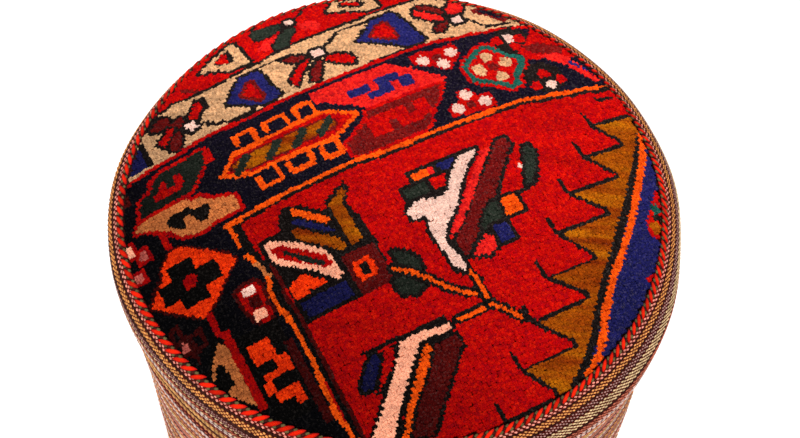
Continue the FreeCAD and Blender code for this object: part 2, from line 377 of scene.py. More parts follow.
def lathe(name, outline):
    """A closed ring or disc: an outline of (r, z) points, extruded one by one and spun about the axis."""
    fresh()
    bpy.ops.mesh.primitive_plane_add(size=MM)
    obj = bpy.context.object
    obj.name = obj.data.name = name
    bpy.ops.object.mode_set(mode="EDIT")
    bpy.ops.mesh.select_mode(type="VERT")
    bpy.ops.mesh.select_all(action="SELECT")
    bpy.ops.mesh.merge(type="CENTER")
    bpy.ops.transform.translate(value=(outline[0][0], 0.0, outline[0][1]))
    for (ra, za), (rb, zb) in zip(outline, outline[1:] + outline[:1]):
        bpy.ops.mesh.extrude_region_move(TRANSFORM_OT_translate={"value": (rb - ra, 0.0, zb - za)})
    bpy.ops.mesh.select_all(action="SELECT")
    bpy.ops.mesh.spin(steps=LATHE_STEPS, angle=FULL_TURN, center=(0, 0, 0), axis=(0, 0, 1))
    bpy.ops.mesh.select_all(action="SELECT")
    bpy.ops.mesh.remove_doubles(threshold=WELD)
    bpy.ops.mesh.dissolve_degenerate(threshold=WELD)
    bpy.ops.mesh.select_all(action="SELECT")
    bpy.ops.mesh.normals_make_consistent(inside=False)
    bpy.ops.object.mode_set(mode="OBJECT")
    bpy.ops.object.shade_smooth_by_angle(angle=SMOOTH_ANGLE)
    return obj


def dress(obj, finish):
    """Material and body of a new piece."""
    obj.data.materials.clear()
    obj.data.materials.append(finish)
    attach(obj, BODY)


# Materials


class Finish:
    """A procedural material, put together node by node round one Principled surface."""

    def __init__(self, name, sockets):
        self.material = bpy.data.materials.new(name)
        self.material.use_nodes = True
        self.tree = self.material.node_tree
        self.surface = self.tree.nodes["Principled BSDF"]
        for socket, value in sockets.items():
            self.surface.inputs[socket].default_value = value

    def add(self, kind, inputs=None, **settings):
        node = self.tree.nodes.new(kind)
        for name, value in settings.items():
            setattr(node, name, value)
        for socket, value in (inputs or {}).items():
            if isinstance(value, bpy.types.NodeSocket):
                self.tree.links.new(value, node.inputs[socket])
            else:
                node.inputs[socket].default_value = value
        return node

    def give(self, socket, value):
        self.tree.links.new(value, self.surface.inputs[socket])

    def place(self, scale, turn=0.0):
        """Object coordinates, turned about the upright axis and scaled."""
        where = self.add("ShaderNodeTexCoord")
        node = self.add("ShaderNodeMapping", {"Vector": where.outputs["Object"], "Scale": scale,
                                              "Rotation": (0.0, 0.0, turn)})
        return node.outputs[0]

    def noise(self, where, scale=1.0, detail=3.0, roughness=0.5):
        node = self.add("ShaderNodeTexNoise", {"Vector": where, "Scale": scale, "Detail": detail,
                                               "Roughness": roughness})
        return node.outputs[0]

    def along(self, where, direction):
        node = self.add("ShaderNodeVectorMath", {0: where, 1: direction}, operation="DOT_PRODUCT")
        return node.outputs[1]

    def value(self, attribute):
        return self.add("ShaderNodeAttribute", attribute_name=attribute).outputs["Fac"]

    def spread(self, value, low, high, start=0.0, end=1.0):
        node = self.add("ShaderNodeMapRange", {"Value": value, "From Min": start, "From Max": end,
                                               "To Min": low, "To Max": high})
        return node.outputs[0]

    def times(self, first, second):
        return self.add("ShaderNodeMath", {0: first, 1: second}, operation="MULTIPLY").outputs[0]

    def brightened(self, base, value, hue=None):
        node = self.add("ShaderNodeHueSaturation", {"Color": base, "Value": value})
        if hue:
            self.tree.links.new(hue, node.inputs["Hue"])
        return node.outputs[0]

    def mixed(self, share, first, second):
        return self.add("ShaderNodeMix", {0: share, 6: first, 7: second}, data_type="RGBA").outputs[2]

    def bump(self, height, distance, strength=0.5):
        node = self.add("ShaderNodeBump", {"Height": height, "Distance": distance, "Strength": strength})
        self.give("Normal", node.outputs[0])


def opaque(rgb):
    return (*rgb, 1.0)


FIBRE_GLINT = (0.42, 0.34, 0.3, 1.0)        # painted glints of fibres catching the light
DEEP_DYE = 0.2                       # dyes darker than this get the strongest painted shade and the most painted glints
PALE_DYE = 0.25                      # dyes paler than this get little painted shade and look even
BRIGHT_DYE = 0.95                    # dyes brighter than this get less painted shade at the left
STREAKS = 0.2                        # how far most dyes lighten and darken along the rows
STREAKY_DYES = {"wool_mustard": 0.5}   # dyes that took less evenly
PAINTED_LIGHT_TO_BACK_RIGHT = (0.7, 0.7, 0.0)      # from the left front of the seat to its right back, along which the painted shade turns to painted sheen
EDGE_SHADE_RED = 0.42                      # red left of a yarn's colour in the painted shade at the edge of a float
EDGE_SHADE_REST = 0.2                      # green and blue left there
EDGE_SHADE_BLUE = 0.004                    # trace of blue there


def wool(name, rgb, turn):
    """Hand-spun pile: each tuft its own random tone, painted shade at its foot and to the left and front,
    painted sheen to the right back as light falls on the nap, streaks of the dye along the rows and painted
    fibre glints."""
    finish = Finish(name, {"Roughness": 0.95, "Specular IOR Level": 0.04})
    where = finish.add("ShaderNodeTexCoord").outputs["Object"]
    back = finish.add("ShaderNodeSeparateXYZ", {0: where}).outputs[1]
    corner = finish.along(where, PAINTED_LIGHT_TO_BACK_RIGHT)
    # Light left by the painted shade at the front, at the left and at a tuft's foot, light on a tuft's
    # darkest tone, and the share of painted fibre glints
    front_shade, left, foot, even, glint_share = 0.86, 0.5, 0.42, 0.66, 0.01
    if max(rgb) > BRIGHT_DYE:
        left = 0.72
    if max(rgb) < DEEP_DYE:
        front_shade, left, glint_share = 0.62, 0.06 + 0.9 * max(rgb), 0.09
    if min(rgb) > PALE_DYE:
        front_shade, left, foot, even = 0.95, 0.95, 0.62, 0.82
    # Painted nap shade: darker towards the front and the left, lighter with painted sheen towards the right
    # back
    nap = finish.times(finish.spread(back, front_shade, 2 - front_shade, -0.12, 0.12),
                       finish.spread(corner, left, 1.0, -0.15, 0.0))
    # Painted glints: pale specks of fibres catching the light, most towards the right back
    glint_specks = finish.noise(finish.place((620.0, 620.0, 620.0)), detail=1.0)
    fibre_glint = finish.spread(glint_specks, 0.0, glint_share, 0.54, 0.7)
    fibre_glint = finish.times(fibre_glint, finish.spread(corner, 0.2, 1.0, -0.15, 0.05))
    streaks = finish.noise(finish.place((22.0, 130.0, 22.0), -turn))
    fibres = finish.noise(finish.place((1300.0, 1300.0, 500.0)), detail=2.0)
    # Painted shade at a tuft's foot, where its neighbours shade it
    depth = finish.spread(finish.value("height"), foot, 1.0, 0.2, 0.9)
    tuft = finish.spread(finish.value("shade"), even, 2 - even)
    streaky = STREAKY_DYES.get(name, STREAKS)
    dye = finish.spread(streaks, 1 - streaky, 1 + streaky, 0.25, 0.75)
    strand = finish.spread(fibres, 0.75, 1.25, 0.3, 0.7)
    hue = finish.spread(finish.value("shade"), 0.498, 0.502)
    if name in STREAKY_DYES:
        hue = finish.spread(streaks, 0.49, 0.52, 0.3, 0.7)
    level = finish.times(finish.times(depth, tuft), finish.times(dye, strand))
    dyed = finish.brightened(opaque(rgb), finish.times(level, nap), hue)
    finish.give("Base Color", finish.mixed(fibre_glint, dyed, FIBRE_GLINT))
    finish.bump(fibres, 0.4 * MM)
    return finish.material


def yarn(name, rgb):
    """Spun yarn of the raised floats and stitches, with painted shade towards the edges and ends of a
    float.
    """
    finish = Finish(name, {"Roughness": 0.85, "Specular IOR Level": 0.06})
    fibres = finish.noise(finish.place((1800.0, 1800.0, 1800.0)), detail=2.0)
    level = finish.times(finish.spread(finish.value("shade"), 0.66, 1.2),
                         finish.spread(fibres, 0.75, 1.25, 0.3, 0.7))
    # Painted shade: a float darker and deeper red towards its edges and ends, lightest on its top
    tip = finish.spread(finish.value("tip"), 0.0, 1.0, 0.0, 0.75)
    shade_at_edge = opaque((rgb[0] * EDGE_SHADE_RED, rgb[1] * EDGE_SHADE_REST, rgb[2] * EDGE_SHADE_REST + EDGE_SHADE_BLUE))
    finish.give("Base Color", finish.brightened(finish.mixed(tip, opaque(rgb), shade_at_edge), level))
    finish.bump(fibres, 0.3 * MM)
    return finish.material


def striped_cloth(name):
    """Flat weave: the yarn of each row, broken into floats with dark gaps, worn and rubbed a little."""
    finish = Finish(name, {"Roughness": 0.9, "Specular IOR Level": 0.08})
    rows = finish.add("ShaderNodeUVMap", uv_map=WEAVE_MAP).outputs[0]
    bricks = finish.add("ShaderNodeTexBrick", {
        "Vector": rows, "Color1": (1, 1, 1, 1), "Color2": (0.62, 0.62, 0.62, 1),
        "Mortar": (0.22, 0.22, 0.22, 1), "Scale": 1.0, "Mortar Size": 0.13, "Mortar Smooth": 0.9,
        "Brick Width": 1.0, "Row Height": 1.0})
    wear = finish.noise(finish.place((35.0, 35.0, 60.0)))
    fibres = finish.noise(finish.place((1600.0, 1600.0, 1600.0)), detail=2.0)
    base = finish.add("ShaderNodeAttribute", attribute_name="yarn").outputs["Color"]
    woven = finish.add("ShaderNodeMix", {0: 1.0, 6: base, 7: bricks.outputs["Color"]}, data_type="RGBA",
                       blend_type="MULTIPLY").outputs[2]
    level = finish.times(finish.spread(wear, 0.8, 1.15, 0.3, 0.7),
                         finish.spread(fibres, 0.8, 1.2, 0.3, 0.7))
    finish.give("Base Color", finish.brightened(woven, level))
    relief = finish.add("ShaderNodeMath", {0: fibres, 1: bricks.outputs["Fac"]}, operation="SUBTRACT")
    finish.bump(relief.outputs[0], 0.5 * MM, 0.7)
    return finish.material


def grained(name, light, dark, scale, roughness, bump, metallic=0.0):
    """A finish of two shades in a stretched grain, for boards, timber, metal, plastic, felt and foam."""
    finish = Finish(name, {"Metallic": metallic, "Specular IOR Level": 0.4})
    grain = finish.noise(finish.place(scale), detail=4.0, roughness=0.6)
    share = finish.spread(grain, 0.0, 1.0, 0.32, 0.68)
    finish.give("Base Color", finish.mixed(share, opaque(linear(dark)), opaque(linear(light))))
    finish.give("Roughness", finish.spread(grain, roughness - 0.08, roughness + 0.08))
    finish.bump(grain, bump * MM)
    return finish.material


# The rug's chart: knots on the rug's own axes u and v, in millimetres from its middle

OUTLINE = 2.8            # dark wool round a motif, one knot
FAR = 210                # beyond the edge of the rug
DYES = tuple(PoufDyes.__annotations__)


def within(u, v, points):
    """Which knots lie inside a closed outline."""
    found = np.zeros(u.size, bool)
    for (ua, va), (ub, vb) in zip(points, points[1:] + points[:1]):
        if va != vb:
            crosses = (va > v) != (vb > v)
            found ^= crosses & (u < (ub - ua) * (v - va) / (vb - va) + ua)
    return found


def reach(u, v, points):
    """Distance of the knots from a line through the points."""
    least = np.full(u.size, np.inf)
    for (ua, va), (ub, vb) in zip(points, points[1:]):
        du, dv = ub - ua, vb - va
        along = np.clip(((u - ua) * du + (v - va) * dv) / (du * du + dv * dv), 0.0, 1.0)
        least = np.minimum(least, np.hypot(u - ua - along * du, v - va - along * dv))
    return least


class KnotChart:
    """The dye of every knot: field red at first, then set motif by motif as a weaver fills a chart."""

    def __init__(self, u, v):
        self.u = u
        self.v = v
        self.dye = np.zeros(u.size, int)

    def paint(self, dye, where):
        self.dye[where] = DYES.index(dye)

    def area(self, dye, *points, edge=None, width=OUTLINE):
        filled = within(self.u, self.v, points)
        if edge:
            self.paint(edge, reach(self.u, self.v, points + points[:1]) < width)
        self.paint(dye, filled)

    def line(self, dye, width, *points):
        self.paint(dye, reach(self.u, self.v, points) <= width / 2)

    def block(self, dye, u0, v0, u1, v1, edge=None):
        self.area(dye, (u0, v0), (u1, v0), (u1, v1), (u0, v1), edge=edge)

    def dot(self, dye, u, v, across):
        self.paint(dye, np.hypot(self.u - u, self.v - v) < across / 2)


def outer_band(c):
    """Triangles and flowers of the band along the far edge."""
    c.area("maroon", (-97, 155), (-92, 156), (-86, 151), (-83, 147), (-85, 145), (-90, 150))
    c.area("tan", (-76, 163), (-62, 171), (-45, 178), (-42, 177), (-39, 151), (-57, 151), (-63, 157),
           edge="dark")
    c.area("dark", (-65, 164), (-55, 172), (-48, 174), (-48, 159), (-54, 159))
    c.area("red", (-62, 165), (-54, 171), (-51, 170), (-52, 161), (-56, 161))
    c.area("tan", (33, 171), (42, 181), (70, 169), (70, 158), (60, 157), (52, 162), (45, 166),
           edge="dark")
    c.area("dark", (41, 173), (46, 178), (63, 170), (62, 164), (56, 164))
    c.area("red", (46, 174), (49, 176), (60, 170), (58, 166))
    c.area("crimson", (-20, 168), (-11, 166), (-22, 154), (-30, 158), (-26, 163))
    c.area("crimson", (8, 171), (20, 168), (23, 159), (18, 156), (7, 163))
    c.area("green", (-24, 182), (-5, 178), (-3, 172), (-13, 170), (-26, 170), (-28, 176), edge="dark",
           width=1.6)
    c.area("green", (0, 171), (4, 166), (-9, 152), (-18, 152), (-18, 157), (-7, 167), edge="dark",
           width=1.6)
    c.line("dark", 3.0, (8, 176), (17, 183))
    c.block("ivory", 0, 172, 6, 178, edge="dark")


def tan_band(c):
    """Pale band with flowers and blue triangles."""
    c.area("tan", (-138, 128), (-132, 132), (-125, 138), (-119, 141), (-105, 145), (-92, 143), (-70, 143),
           (-40, 145), (-15, 149), (0, 150), (60, 150.5), (100, 151), (FAR, 151), (FAR, 80), (175, 88),
           (150, 96), (140, 97), (120, 99), (100, 102), (60, 105), (0, 104), (-20, 103.5), (-60, 102.5),
           (-100, 102.5), (-120, 101), (-160, 98), (-FAR, 96), (-FAR, 128), edge="dark")
    c.line("dark", 2.6, (-55, 142), (-12, 142))
    c.line("dark", 2.6, (28, 146), (60, 145.5))
    c.area("blue", (-FAR, 102), (-FAR, 128), (-143, 126), (-141, 120), (-141, 102))
    c.block("dark", -141, 102, -137.5, 126)
    c.area("maroon", (-128, 133), (-124, 136), (-119, 138), (-115, 138), (-112, 134), (-112, 129),
           (-104, 130), (-102, 124), (-108, 121), (-114, 122), (-117, 127), (-122, 127), (-127, 130),
           edge="dark")
    c.area("red", (-127, 116), (-125, 119), (-119, 121), (-117, 126), (-114, 124), (-109, 119),
           (-117, 118), (-119, 112), (-123, 110), edge="dark")
    c.area("maroon", (-119, 113), (-113, 118), (-109, 118), (-110, 113), (-116, 102), (-122, 106),
           edge="dark")
    c.area("red", (-100, 125), (-97, 130), (-89, 138), (-86, 136), (-87, 129), (-92, 125), (-94, 121),
           (-98, 122), edge="dark")
    c.area("dark", (-88, 140), (-83, 139), (-83, 126), (-86, 126))
    c.line("dark", 3.0, (-92, 116), (-90, 112), (-85, 109), (-78, 106), (-56, 105))
    c.area("ivory", (-105, 121), (-98, 121), (-96, 114), (-104, 113), edge="dark")
    c.area("blue", (-71, 121), (-57, 137), (-53, 139), (-39, 139), (-37, 122), (-35, 108), (-47, 106),
           (-55, 109), (-62, 115), edge="dark")
    c.area("red", (-59, 122), (-52, 130), (-48, 131), (-47, 113), (-50, 113), (-55, 119), edge="maroon")
    c.area("maroon", (-20, 140), (-12, 139), (-2, 134), (-4, 130), (-13, 132), (-17, 136), edge="dark")
    c.area("red", (-22, 112), (-22, 118), (-14, 125), (-8, 129), (-2, 130), (-4, 127), (-10, 122),
           (-16, 115), (-20, 110), edge="dark")
    c.area("maroon", (-10, 108), (-5, 118), (3, 125), (4, 122), (0, 114), (-5, 106), edge="dark")
    c.area("red", (8, 122), (10, 126), (18, 124), (25, 120), (27, 113), (25, 109), (20, 112), (12, 118),
           edge="dark")
    c.line("dark", 3.0, (11, 134), (28, 145))
    c.block("ivory", 2, 129, 10, 136, edge="dark")
    c.area("blue", (37, 129), (50, 138), (58, 146), (74, 147), (77, 140), (80, 122), (82, 108), (78, 106),
           (68, 106), (60, 113), (48, 122), edge="dark")
    c.area("red", (49, 129), (57, 137), (64, 138), (66, 128), (64, 119), (60, 121), edge="maroon")
    c.area("maroon", (95, 145), (103, 141), (110, 133), (108, 128), (100, 134), (94, 140), edge="dark")
    c.area("crimson", (88, 135), (90, 141), (100, 133), (108, 125), (106, 121), (98, 124), (92, 130),
           edge="dark")
    c.area("crimson", (112, 128), (113, 132), (120, 138), (126, 136), (127, 130), (122, 124), (116, 124),
           edge="dark")
    c.area("maroon", (93, 112), (98, 118), (108, 120), (106, 116), (98, 110), edge="dark")
    c.line("dark", 3.0, (121, 117), (126, 110), (130, 104), (136, 101), (150, 100))
    c.area("navy", (133, 122), (140, 121), (150, 106), (148, 104), (140, 114), edge="maroon")
    c.block("ivory", 111, 114, 119, 122, edge="dark")


def main_border(c):
    """Dark ground of both borders, with a red line above."""
    top = ((-160, 97), (-120, 99.5), (-100, 101.5), (-60, 100.5), (-20, 102), (40, 103), (80, 102),
           (110, 99), (140, 95), (160, 91))
    c.area("navy", (-FAR, 97), *top, (FAR, 80), (FAR, 12), (160, 18), (140, 20), (100, 24), (70, 23),
           (20, 23), (-20, 26), (-60, 27), (-115, 25), (-113, 0), (-107, -22), (-112, -38), (-109, -56),
           (-109, -100), (-107, -FAR), (-FAR, -FAR))
    c.line("red", 3.2, *top, (185, 85))


def border_lozenges(c):
    """Green, crimson and dark red lozenges of the far border."""
    c.area("green", (-141, 90), (-128, 92), (-104, 93), (-105, 84), (-110, 77), (-117, 71), (-122, 66),
           (-130, 62), (-163, 62), (-160, 72), (-157, 78), (-148, 81), (-145, 86), edge="red")
    c.area("red", (-104, 92), (-99, 92), (-99, 80), (-107, 80))
    c.area("red", (-149, 70), (-148, 76), (-143, 78), (-140, 84), (-137, 84), (-136, 77), (-131, 77),
           (-131, 84), (-124, 84), (-124, 77), (-130, 70))
    c.block("maroon", -172, 79, -163, 92)
    c.area("crimson", (-18, 98), (20, 98), (44, 97), (54, 88), (66, 77), (77, 65), (70, 62), (14, 62),
           (10, 66), (3, 73), (-5, 78), (-12, 84), (-18, 86))
    c.block("blue", 6, 78, 23, 86)
    c.block("blue", 18, 71, 37, 77)
    c.block("blue", 29, 71, 37, 87)
    c.block("blue", 29, 80, 47, 87)
    c.block("blue", 44, 71, 54, 81)
    c.area("maroon", (10, 62), (70, 61), (66, 57), (62, 50), (55, 45), (48, 37), (45, 32), (40, 29),
           (-10, 29), (-15, 31), (-15, 43), (-8, 46), (2, 52), (8, 58), edge="red")
    c.block("red", 4, 38, 36, 55)
    c.block("maroon", 19, 38, 26, 46)
    c.block("red", 42, 40, 53, 56)
    c.block("red", 34, 38, 44, 46)


def boat(c):
    """Long hooked lozenge of the far border."""
    hull = ((-101, 63), (-97, 66), (-91, 71), (-88, 76), (-20, 77), (-15, 76), (-10, 73), (-5, 69),
            (2, 66), (3, 63), (-5, 59), (-14, 54), (-20, 52), (-80, 54), (-92, 57), (-97, 61))
    c.area("red", *hull)
    c.line("orange", 3.6, *hull, hull[0])
    c.area("mustard", (-93, 65), (-86, 69), (-80, 70), (-20, 70), (-14, 67), (-14, 62), (-20, 60),
           (-80, 59), (-88, 61), edge="maroon", width=2.0)
    for foot in (-90, -66, -46, -26):
        c.line("green", 6.0, (foot, 60), (foot + 10, 69))
    for near, far, top in ((-67, -80, 90), (-42, -58, 90), (-21, -34, 91)):
        c.line("orange", 3.2, (near, 77), (near, top), (far, top), (far, 82))
    for near, far, low in ((-66, -80, 39), (-41, -58, 40), (-20, -32, 38)):
        c.line("orange", 3.2, (near, 53), (near, low), (far, low), (far, 49))


def border_flowers(c):
    """Dotted flowers and the ringed rosette of the far border."""
    c.area("red", (62, 96), (72, 97), (84, 94), (98, 96), (99, 90), (97, 82), (90, 76), (85, 71),
           (78, 73), (74, 79), (66, 82), (62, 86))
    c.area("red", (62, 38), (73, 42), (76, 50), (86, 50), (87, 41), (97, 40), (98, 28), (90, 26),
           (62, 28))
    c.dot("maroon", 80, 86, 8)
    c.dot("maroon", 80, 35, 7)
    for u, v in ((70, 88), (92, 87), (82, 79), (80, 44), (69, 35), (91, 34)):
        c.dot("ivory", u, v, 9.5)
    ring = ((93, 56), (93, 66), (97, 72), (104, 76), (112, 81), (118, 82), (122, 78), (126, 73),
            (131, 67), (137, 62), (135, 57), (130, 52), (124, 46), (122, 40), (116, 38), (112, 42),
            (104, 48), (98, 51))
    c.area("red", *ring, edge="red", width=5.0)
    c.line("teal", 4.6, *ring, ring[0])
    c.dot("maroon", 113, 61, 8)
    for u, v, across in ((102, 62, 11), (124, 62, 10), (113, 72, 9), (114, 50, 9)):
        c.dot("tan", u, v, across)
    for u, v, white, reds in ((141, 80, (140, 84), ((130, 84), (147, 81), (140, 74))),
                              (143, 38, (144, 30), ((144, 41), (133, 32), (154, 32)))):
        c.dot("dark", u, v, 30)
        for u_red, v_red in reds:
            c.dot("red", u_red, v_red, 9)
        c.dot("ivory", *white, 8.5)
    c.area("red", (138, 68), (150, 75), (162, 88), (FAR, 95), (FAR, 50), (172, 50), (165, 58), (150, 56),
           (140, 58))
    c.area("maroon", (144, 72), (158, 72), (176, 62), (170, 56), (150, 62))
    c.area("crimson", (150, 60), (165, 58), (172, 50), (178, 35), (182, 22), (178, 20), (166, 42),
           (158, 50))
    c.area("blue", (168, 46), (172, 47), (176, 38), (180, 34), (178, 32))


def left_border(c):
    """Lozenge, octagon, small squares and hooked figure of the left border."""
    c.area("camel", (-170, 56), (-166, 60), (-161, 61), (-129, 61), (-128, 57), (-120, 57), (-116, 52),
           (-111, 49), (-101, 45), (-100, 33), (-121, 33), (-130, 31), (-140, 33), (-145, 36), (-152, 46),
           (-163, 53), edge="red")
    c.area("dark", (-148, 48), (-147, 53), (-143, 54), (-131, 54), (-129, 50), (-124, 49), (-122, 51),
           (-119, 50), (-120, 40), (-126, 37), (-129, 38), (-132, 48), (-138, 48), (-138, 41), (-141, 39),
           (-147, 45))
    c.block("red", -157, 28, -153, 46)
    for u, v, dye in ((-172, 36.5, "salmon"), (-180, 45, "pink"), (-181, 23, "salmon")):
        c.block("red", u - 6, v - 6.5, u + 6, v + 6.5)
        c.block(dye, u - 3, v - 3.5, u + 3, v + 3.5)
    c.area("vermilion", (-184, -2), (-178, 4), (-168, 14), (-166, 20), (-155, 29), (-148, 28), (-136, 17),
           (-125, 8), (-120, -1), (-130, -9), (-142, -20), (-150, -26), (-156, -28), (-169, -17),
           (-180, -6), edge="maroon", width=1.6)
    c.block("dark", -163, -16, -145, 18)
    c.block("dark", -174, -8, -132, 8)
    c.area("red", (-158, 5), (-150, 6), (-147, 2), (-150, -3), (-158, -5))
    c.area("red", (-131, -24), (-117, -22), (-114, -28), (-117, -41), (-115, -47), (-121, -53),
           (-126, -50), (-129, -43), edge="maroon")
    c.block("maroon", -126, -41, -118, -32)
    c.block("ivory", -128, -30, -118, -24)
    c.block("pink", -127, -50, -119, -42)
    c.line("maroon", 3.4, (-174, -24), (-173, -33), (-179, -36), (-181, -26), (-174, -24))
    c.line("maroon", 3.4, (-162, -34), (-162, -44), (-170, -47), (-170, -35), (-162, -34))
    c.area("maroon", (-176, -33), (-169, -36), (-169, -45), (-171, -56), (-175, -47), (-180, -45),
           (-179, -37))
    c.area("salmon", (-176, -35), (-173, -37), (-173, -43), (-176, -44), (-178, -42))
    c.line("red", 4.0, (-152, -28), (-152, -46))
    c.area("camel", (-155, -47), (-152, -55), (-152, -100), (-163, -85), (-170, -68), edge="dark")
    c.area("dark", (-160, -60), (-158, -72), (-158, -80), (-166, -82), (-169, -72), (-165, -66))
    c.block("red", -151, -104, -146, -44)
    c.block("dark", -146, -118, -115, -52)
    for u0, v0, u1, v1 in ((-141, -76, -126, -62), (-129, -88, -120, -76), (-140, -89, -121, -84),
                           (-142, -98, -137, -88), (-138, -105, -121, -97), (-127, -111, -122, -105)):
        c.block("vermilion", u0, v0, u1, v1)
    c.block("maroon", -118, -130, -113, -70)


def field_lines(c):
    """Lines that frame the red field."""
    c.line("dark", 3.0, (-112, 22), (-60, 24), (-20, 23.5), (0, 22), (20, 20), (50, 21.5), (70, 20),
           (100, 21), (120, 20), (140, 17), (160, 15), (183, 12))
    c.line("orange", 3.6, (-116, 25), (-80, 26), (-60, 27), (-20, 26.5), (0, 25), (20, 23), (50, 24.5),
           (70, 23), (90, 23), (100, 24), (120, 23), (140, 20), (160, 18), (183, 15))
    c.line("dark", 6.0, (-110, 20), (-109, 6), (-108, -10), (-105, -24), (-108, -40), (-105, -60),
           (-104, -100), (-104, -150))
    c.line("maroon", 3.0, (-103, 0), (-101, -30), (-104, -40), (-101, -70), (-101, -150))
    c.line("orange", 3.4, (-115, 25), (-113, 15), (-114, 6))
    c.line("orange", 3.4, (-113, -3), (-110, -12))
    c.line("camel", 3.4, (-110, -12), (-107, -24))
    c.line("orange", 3.4, (-108, -26), (-112, -38), (-109, -56), (-108, -80), (-109, -100), (-110, -130),
           (-107, -150))


def left_flower(c):
    """Striped flower at the left of the field."""
    c.area("dark", (-78, 17), (-66, 14), (-52, 0), (-50, 8), (-32, 16), (-30, 10), (-37, 1), (-33, -36),
           (-38, -68), (-100, -67), (-102, 0), (-86, 2), (-84, 10))
    c.area("pink", (-101, -2), (-96, -1), (-85, -8), (-70, -21), (-66, -27), (-63, -48), (-69, -49),
           (-78, -37), (-98, -20), (-101, -12), edge="dark")
    c.area("red", (-97, -8), (-91, -8), (-67, -30), (-66, -38), (-72, -38), (-96, -16))
    c.line("green", 4.0, (-90, -15), (-72, -34))
    c.area("orange", (-74, 13), (-70, 13), (-62, 4), (-53, -4), (-52, -8), (-57, -9), (-64, -1), (-73, 7))
    c.area("blue", (-76, 5), (-70, 3), (-58, -9), (-54, -16), (-60, -14), (-75, 0))
    c.area("mustard", (-80, 0), (-77, -1), (-62, -16), (-55, -20), (-53, -30), (-56, -33), (-68, -20),
           (-78, -12))
    c.area("mustard", (-50, 3), (-35, 12), (-33, 8), (-40, 2), (-41, -30), (-49, -32))
    c.block("maroon", -60, -68, -36, -36)
    c.area("vermilion", (-57, -47), (-54, -43), (-45, -43), (-42, -47), (-42, -55), (-45, -59),
           (-54, -59), (-57, -55))
    c.block("dark", -53, -55, -46, -47)
    c.area("vermilion", (-99, -39), (-95, -36), (-87, -35), (-80, -41), (-75, -48), (-84, -48),
           (-88, -46), (-90, -50), (-99, -49))
    c.block("blue", -98, -64, -64, -53, edge="dark")
    c.area("green", (-28, -48), (-22, -52), (-15, -62), (-17, -70), (-24, -66), (-29, -58), edge="dark")
    c.area("green", (-38, -68), (-30, -68), (-20, -80), (-28, -82), (-36, -80), edge="dark")


def stems(c):
    """Stems that join the flowers."""
    for path in (((-34, -60), (-28, -64), (-22, -70), (-16, -77), (-8, -88), (2, -97), (8, -99)),
                 ((10, -83), (12, -92), (11, -100), (12, -110)),
                 ((-12, -110), (12, -110)),
                 ((12, -110), (18, -117), (27, -128))):
        c.line("dark", 7.6, *path)
        c.line("orange", 3.0, *path)
    c.line("dark", 4.0, (27, -128), (32, -134))


def top_flower(c):
    """Pale and dark flower in the middle of the field."""
    c.area("maroon", (85, -1), (78, -2), (54, -24), (34, -44), (14, -60), (13, -75), (24, -66), (50, -46),
           (72, -22), (87, -8), edge="dark")
    c.area("crimson", (72, -3), (64, -5), (40, -28), (24, -44), (11, -54), (12, -58), (22, -52),
           (40, -36), (60, -15), (70, -7))
    c.block("orange", 10, -9, 27, -1, edge="dark")
    c.block("crimson", 22, -9, 27, -1)
    c.line("dark", 2.6, (66, -45), (83, -44))
    c.area("blue", (30, -2), (46, -2), (38, -9), (31, -9), edge="dark")
    c.block("green", 0, -20, 18, -10, edge="dark")
    c.block("red", 19, -20, 33, -11, edge="dark")
    c.area("ivory", (-6, -28), (-3, -24), (8, -23), (20, -25), (28, -24), (34, -14), (42, -8), (48, -2),
           (62, -2), (50, -12), (38, -24), (27, -37), (14, -48), (8, -56), (9, -70), (11, -72), (10, -80),
           (8, -83), (3, -78), (2, -45), (5, -36), (-5, -33), edge="dark")
    c.area("green", (93, -14), (98, -13), (99, -20), (90, -36), (84, -42), (79, -42), (86, -28),
           edge="dark")
    c.dot("ivory", 83, -26, 3.4)
    c.block("orange", 54, -59, 67, -45, edge="dark")
    c.area("green", (54, -45), (53, -51), (50, -59), (43, -61), (33, -62), (36, -56), (43, -49),
           (49, -45), edge="dark")
    c.block("blue", 40, -75, 51, -62, edge="dark")
    c.area("crimson", (18, -75), (28, -79), (36, -77), (37, -68), (34, -64), (24, -71), edge="dark")


def bottom_flower(c):
    """Striped flower at the near edge."""
    c.area("maroon", (-37, -118), (-19, -119), (-18, -126), (-33, -140), (-46, -153), (-62, -169),
           (-75, -164), (-59, -145), (-43, -130), edge="dark", width=2.2)
    c.area("orange", (-40, -116), (-37, -119), (-44, -129), (-57, -141), (-70, -154), (-77, -163),
           (-81, -162), (-66, -143), (-48, -123), edge="dark", width=2.0)
    c.area("blue", (-73, -106), (-69, -109), (-75, -117), (-83, -126), (-89, -124), (-86, -117),
           (-79, -110), edge="dark")
    c.area("red", (-65, -107), (-55, -109), (-65, -118), (-80, -130), (-75, -121), (-68, -112),
           edge="dark", width=1.6)
    c.area("pink", (-53, -106), (-30, -108), (-20, -110), (-20, -114), (-42, -113), (-52, -122),
           (-64, -135), (-79, -151), (-86, -161), (-97, -153), (-81, -137), (-71, -128), (-60, -116),
           edge="dark")
    c.line("dark", 3.0, (-78, -103), (-50, -104), (-20, -106))


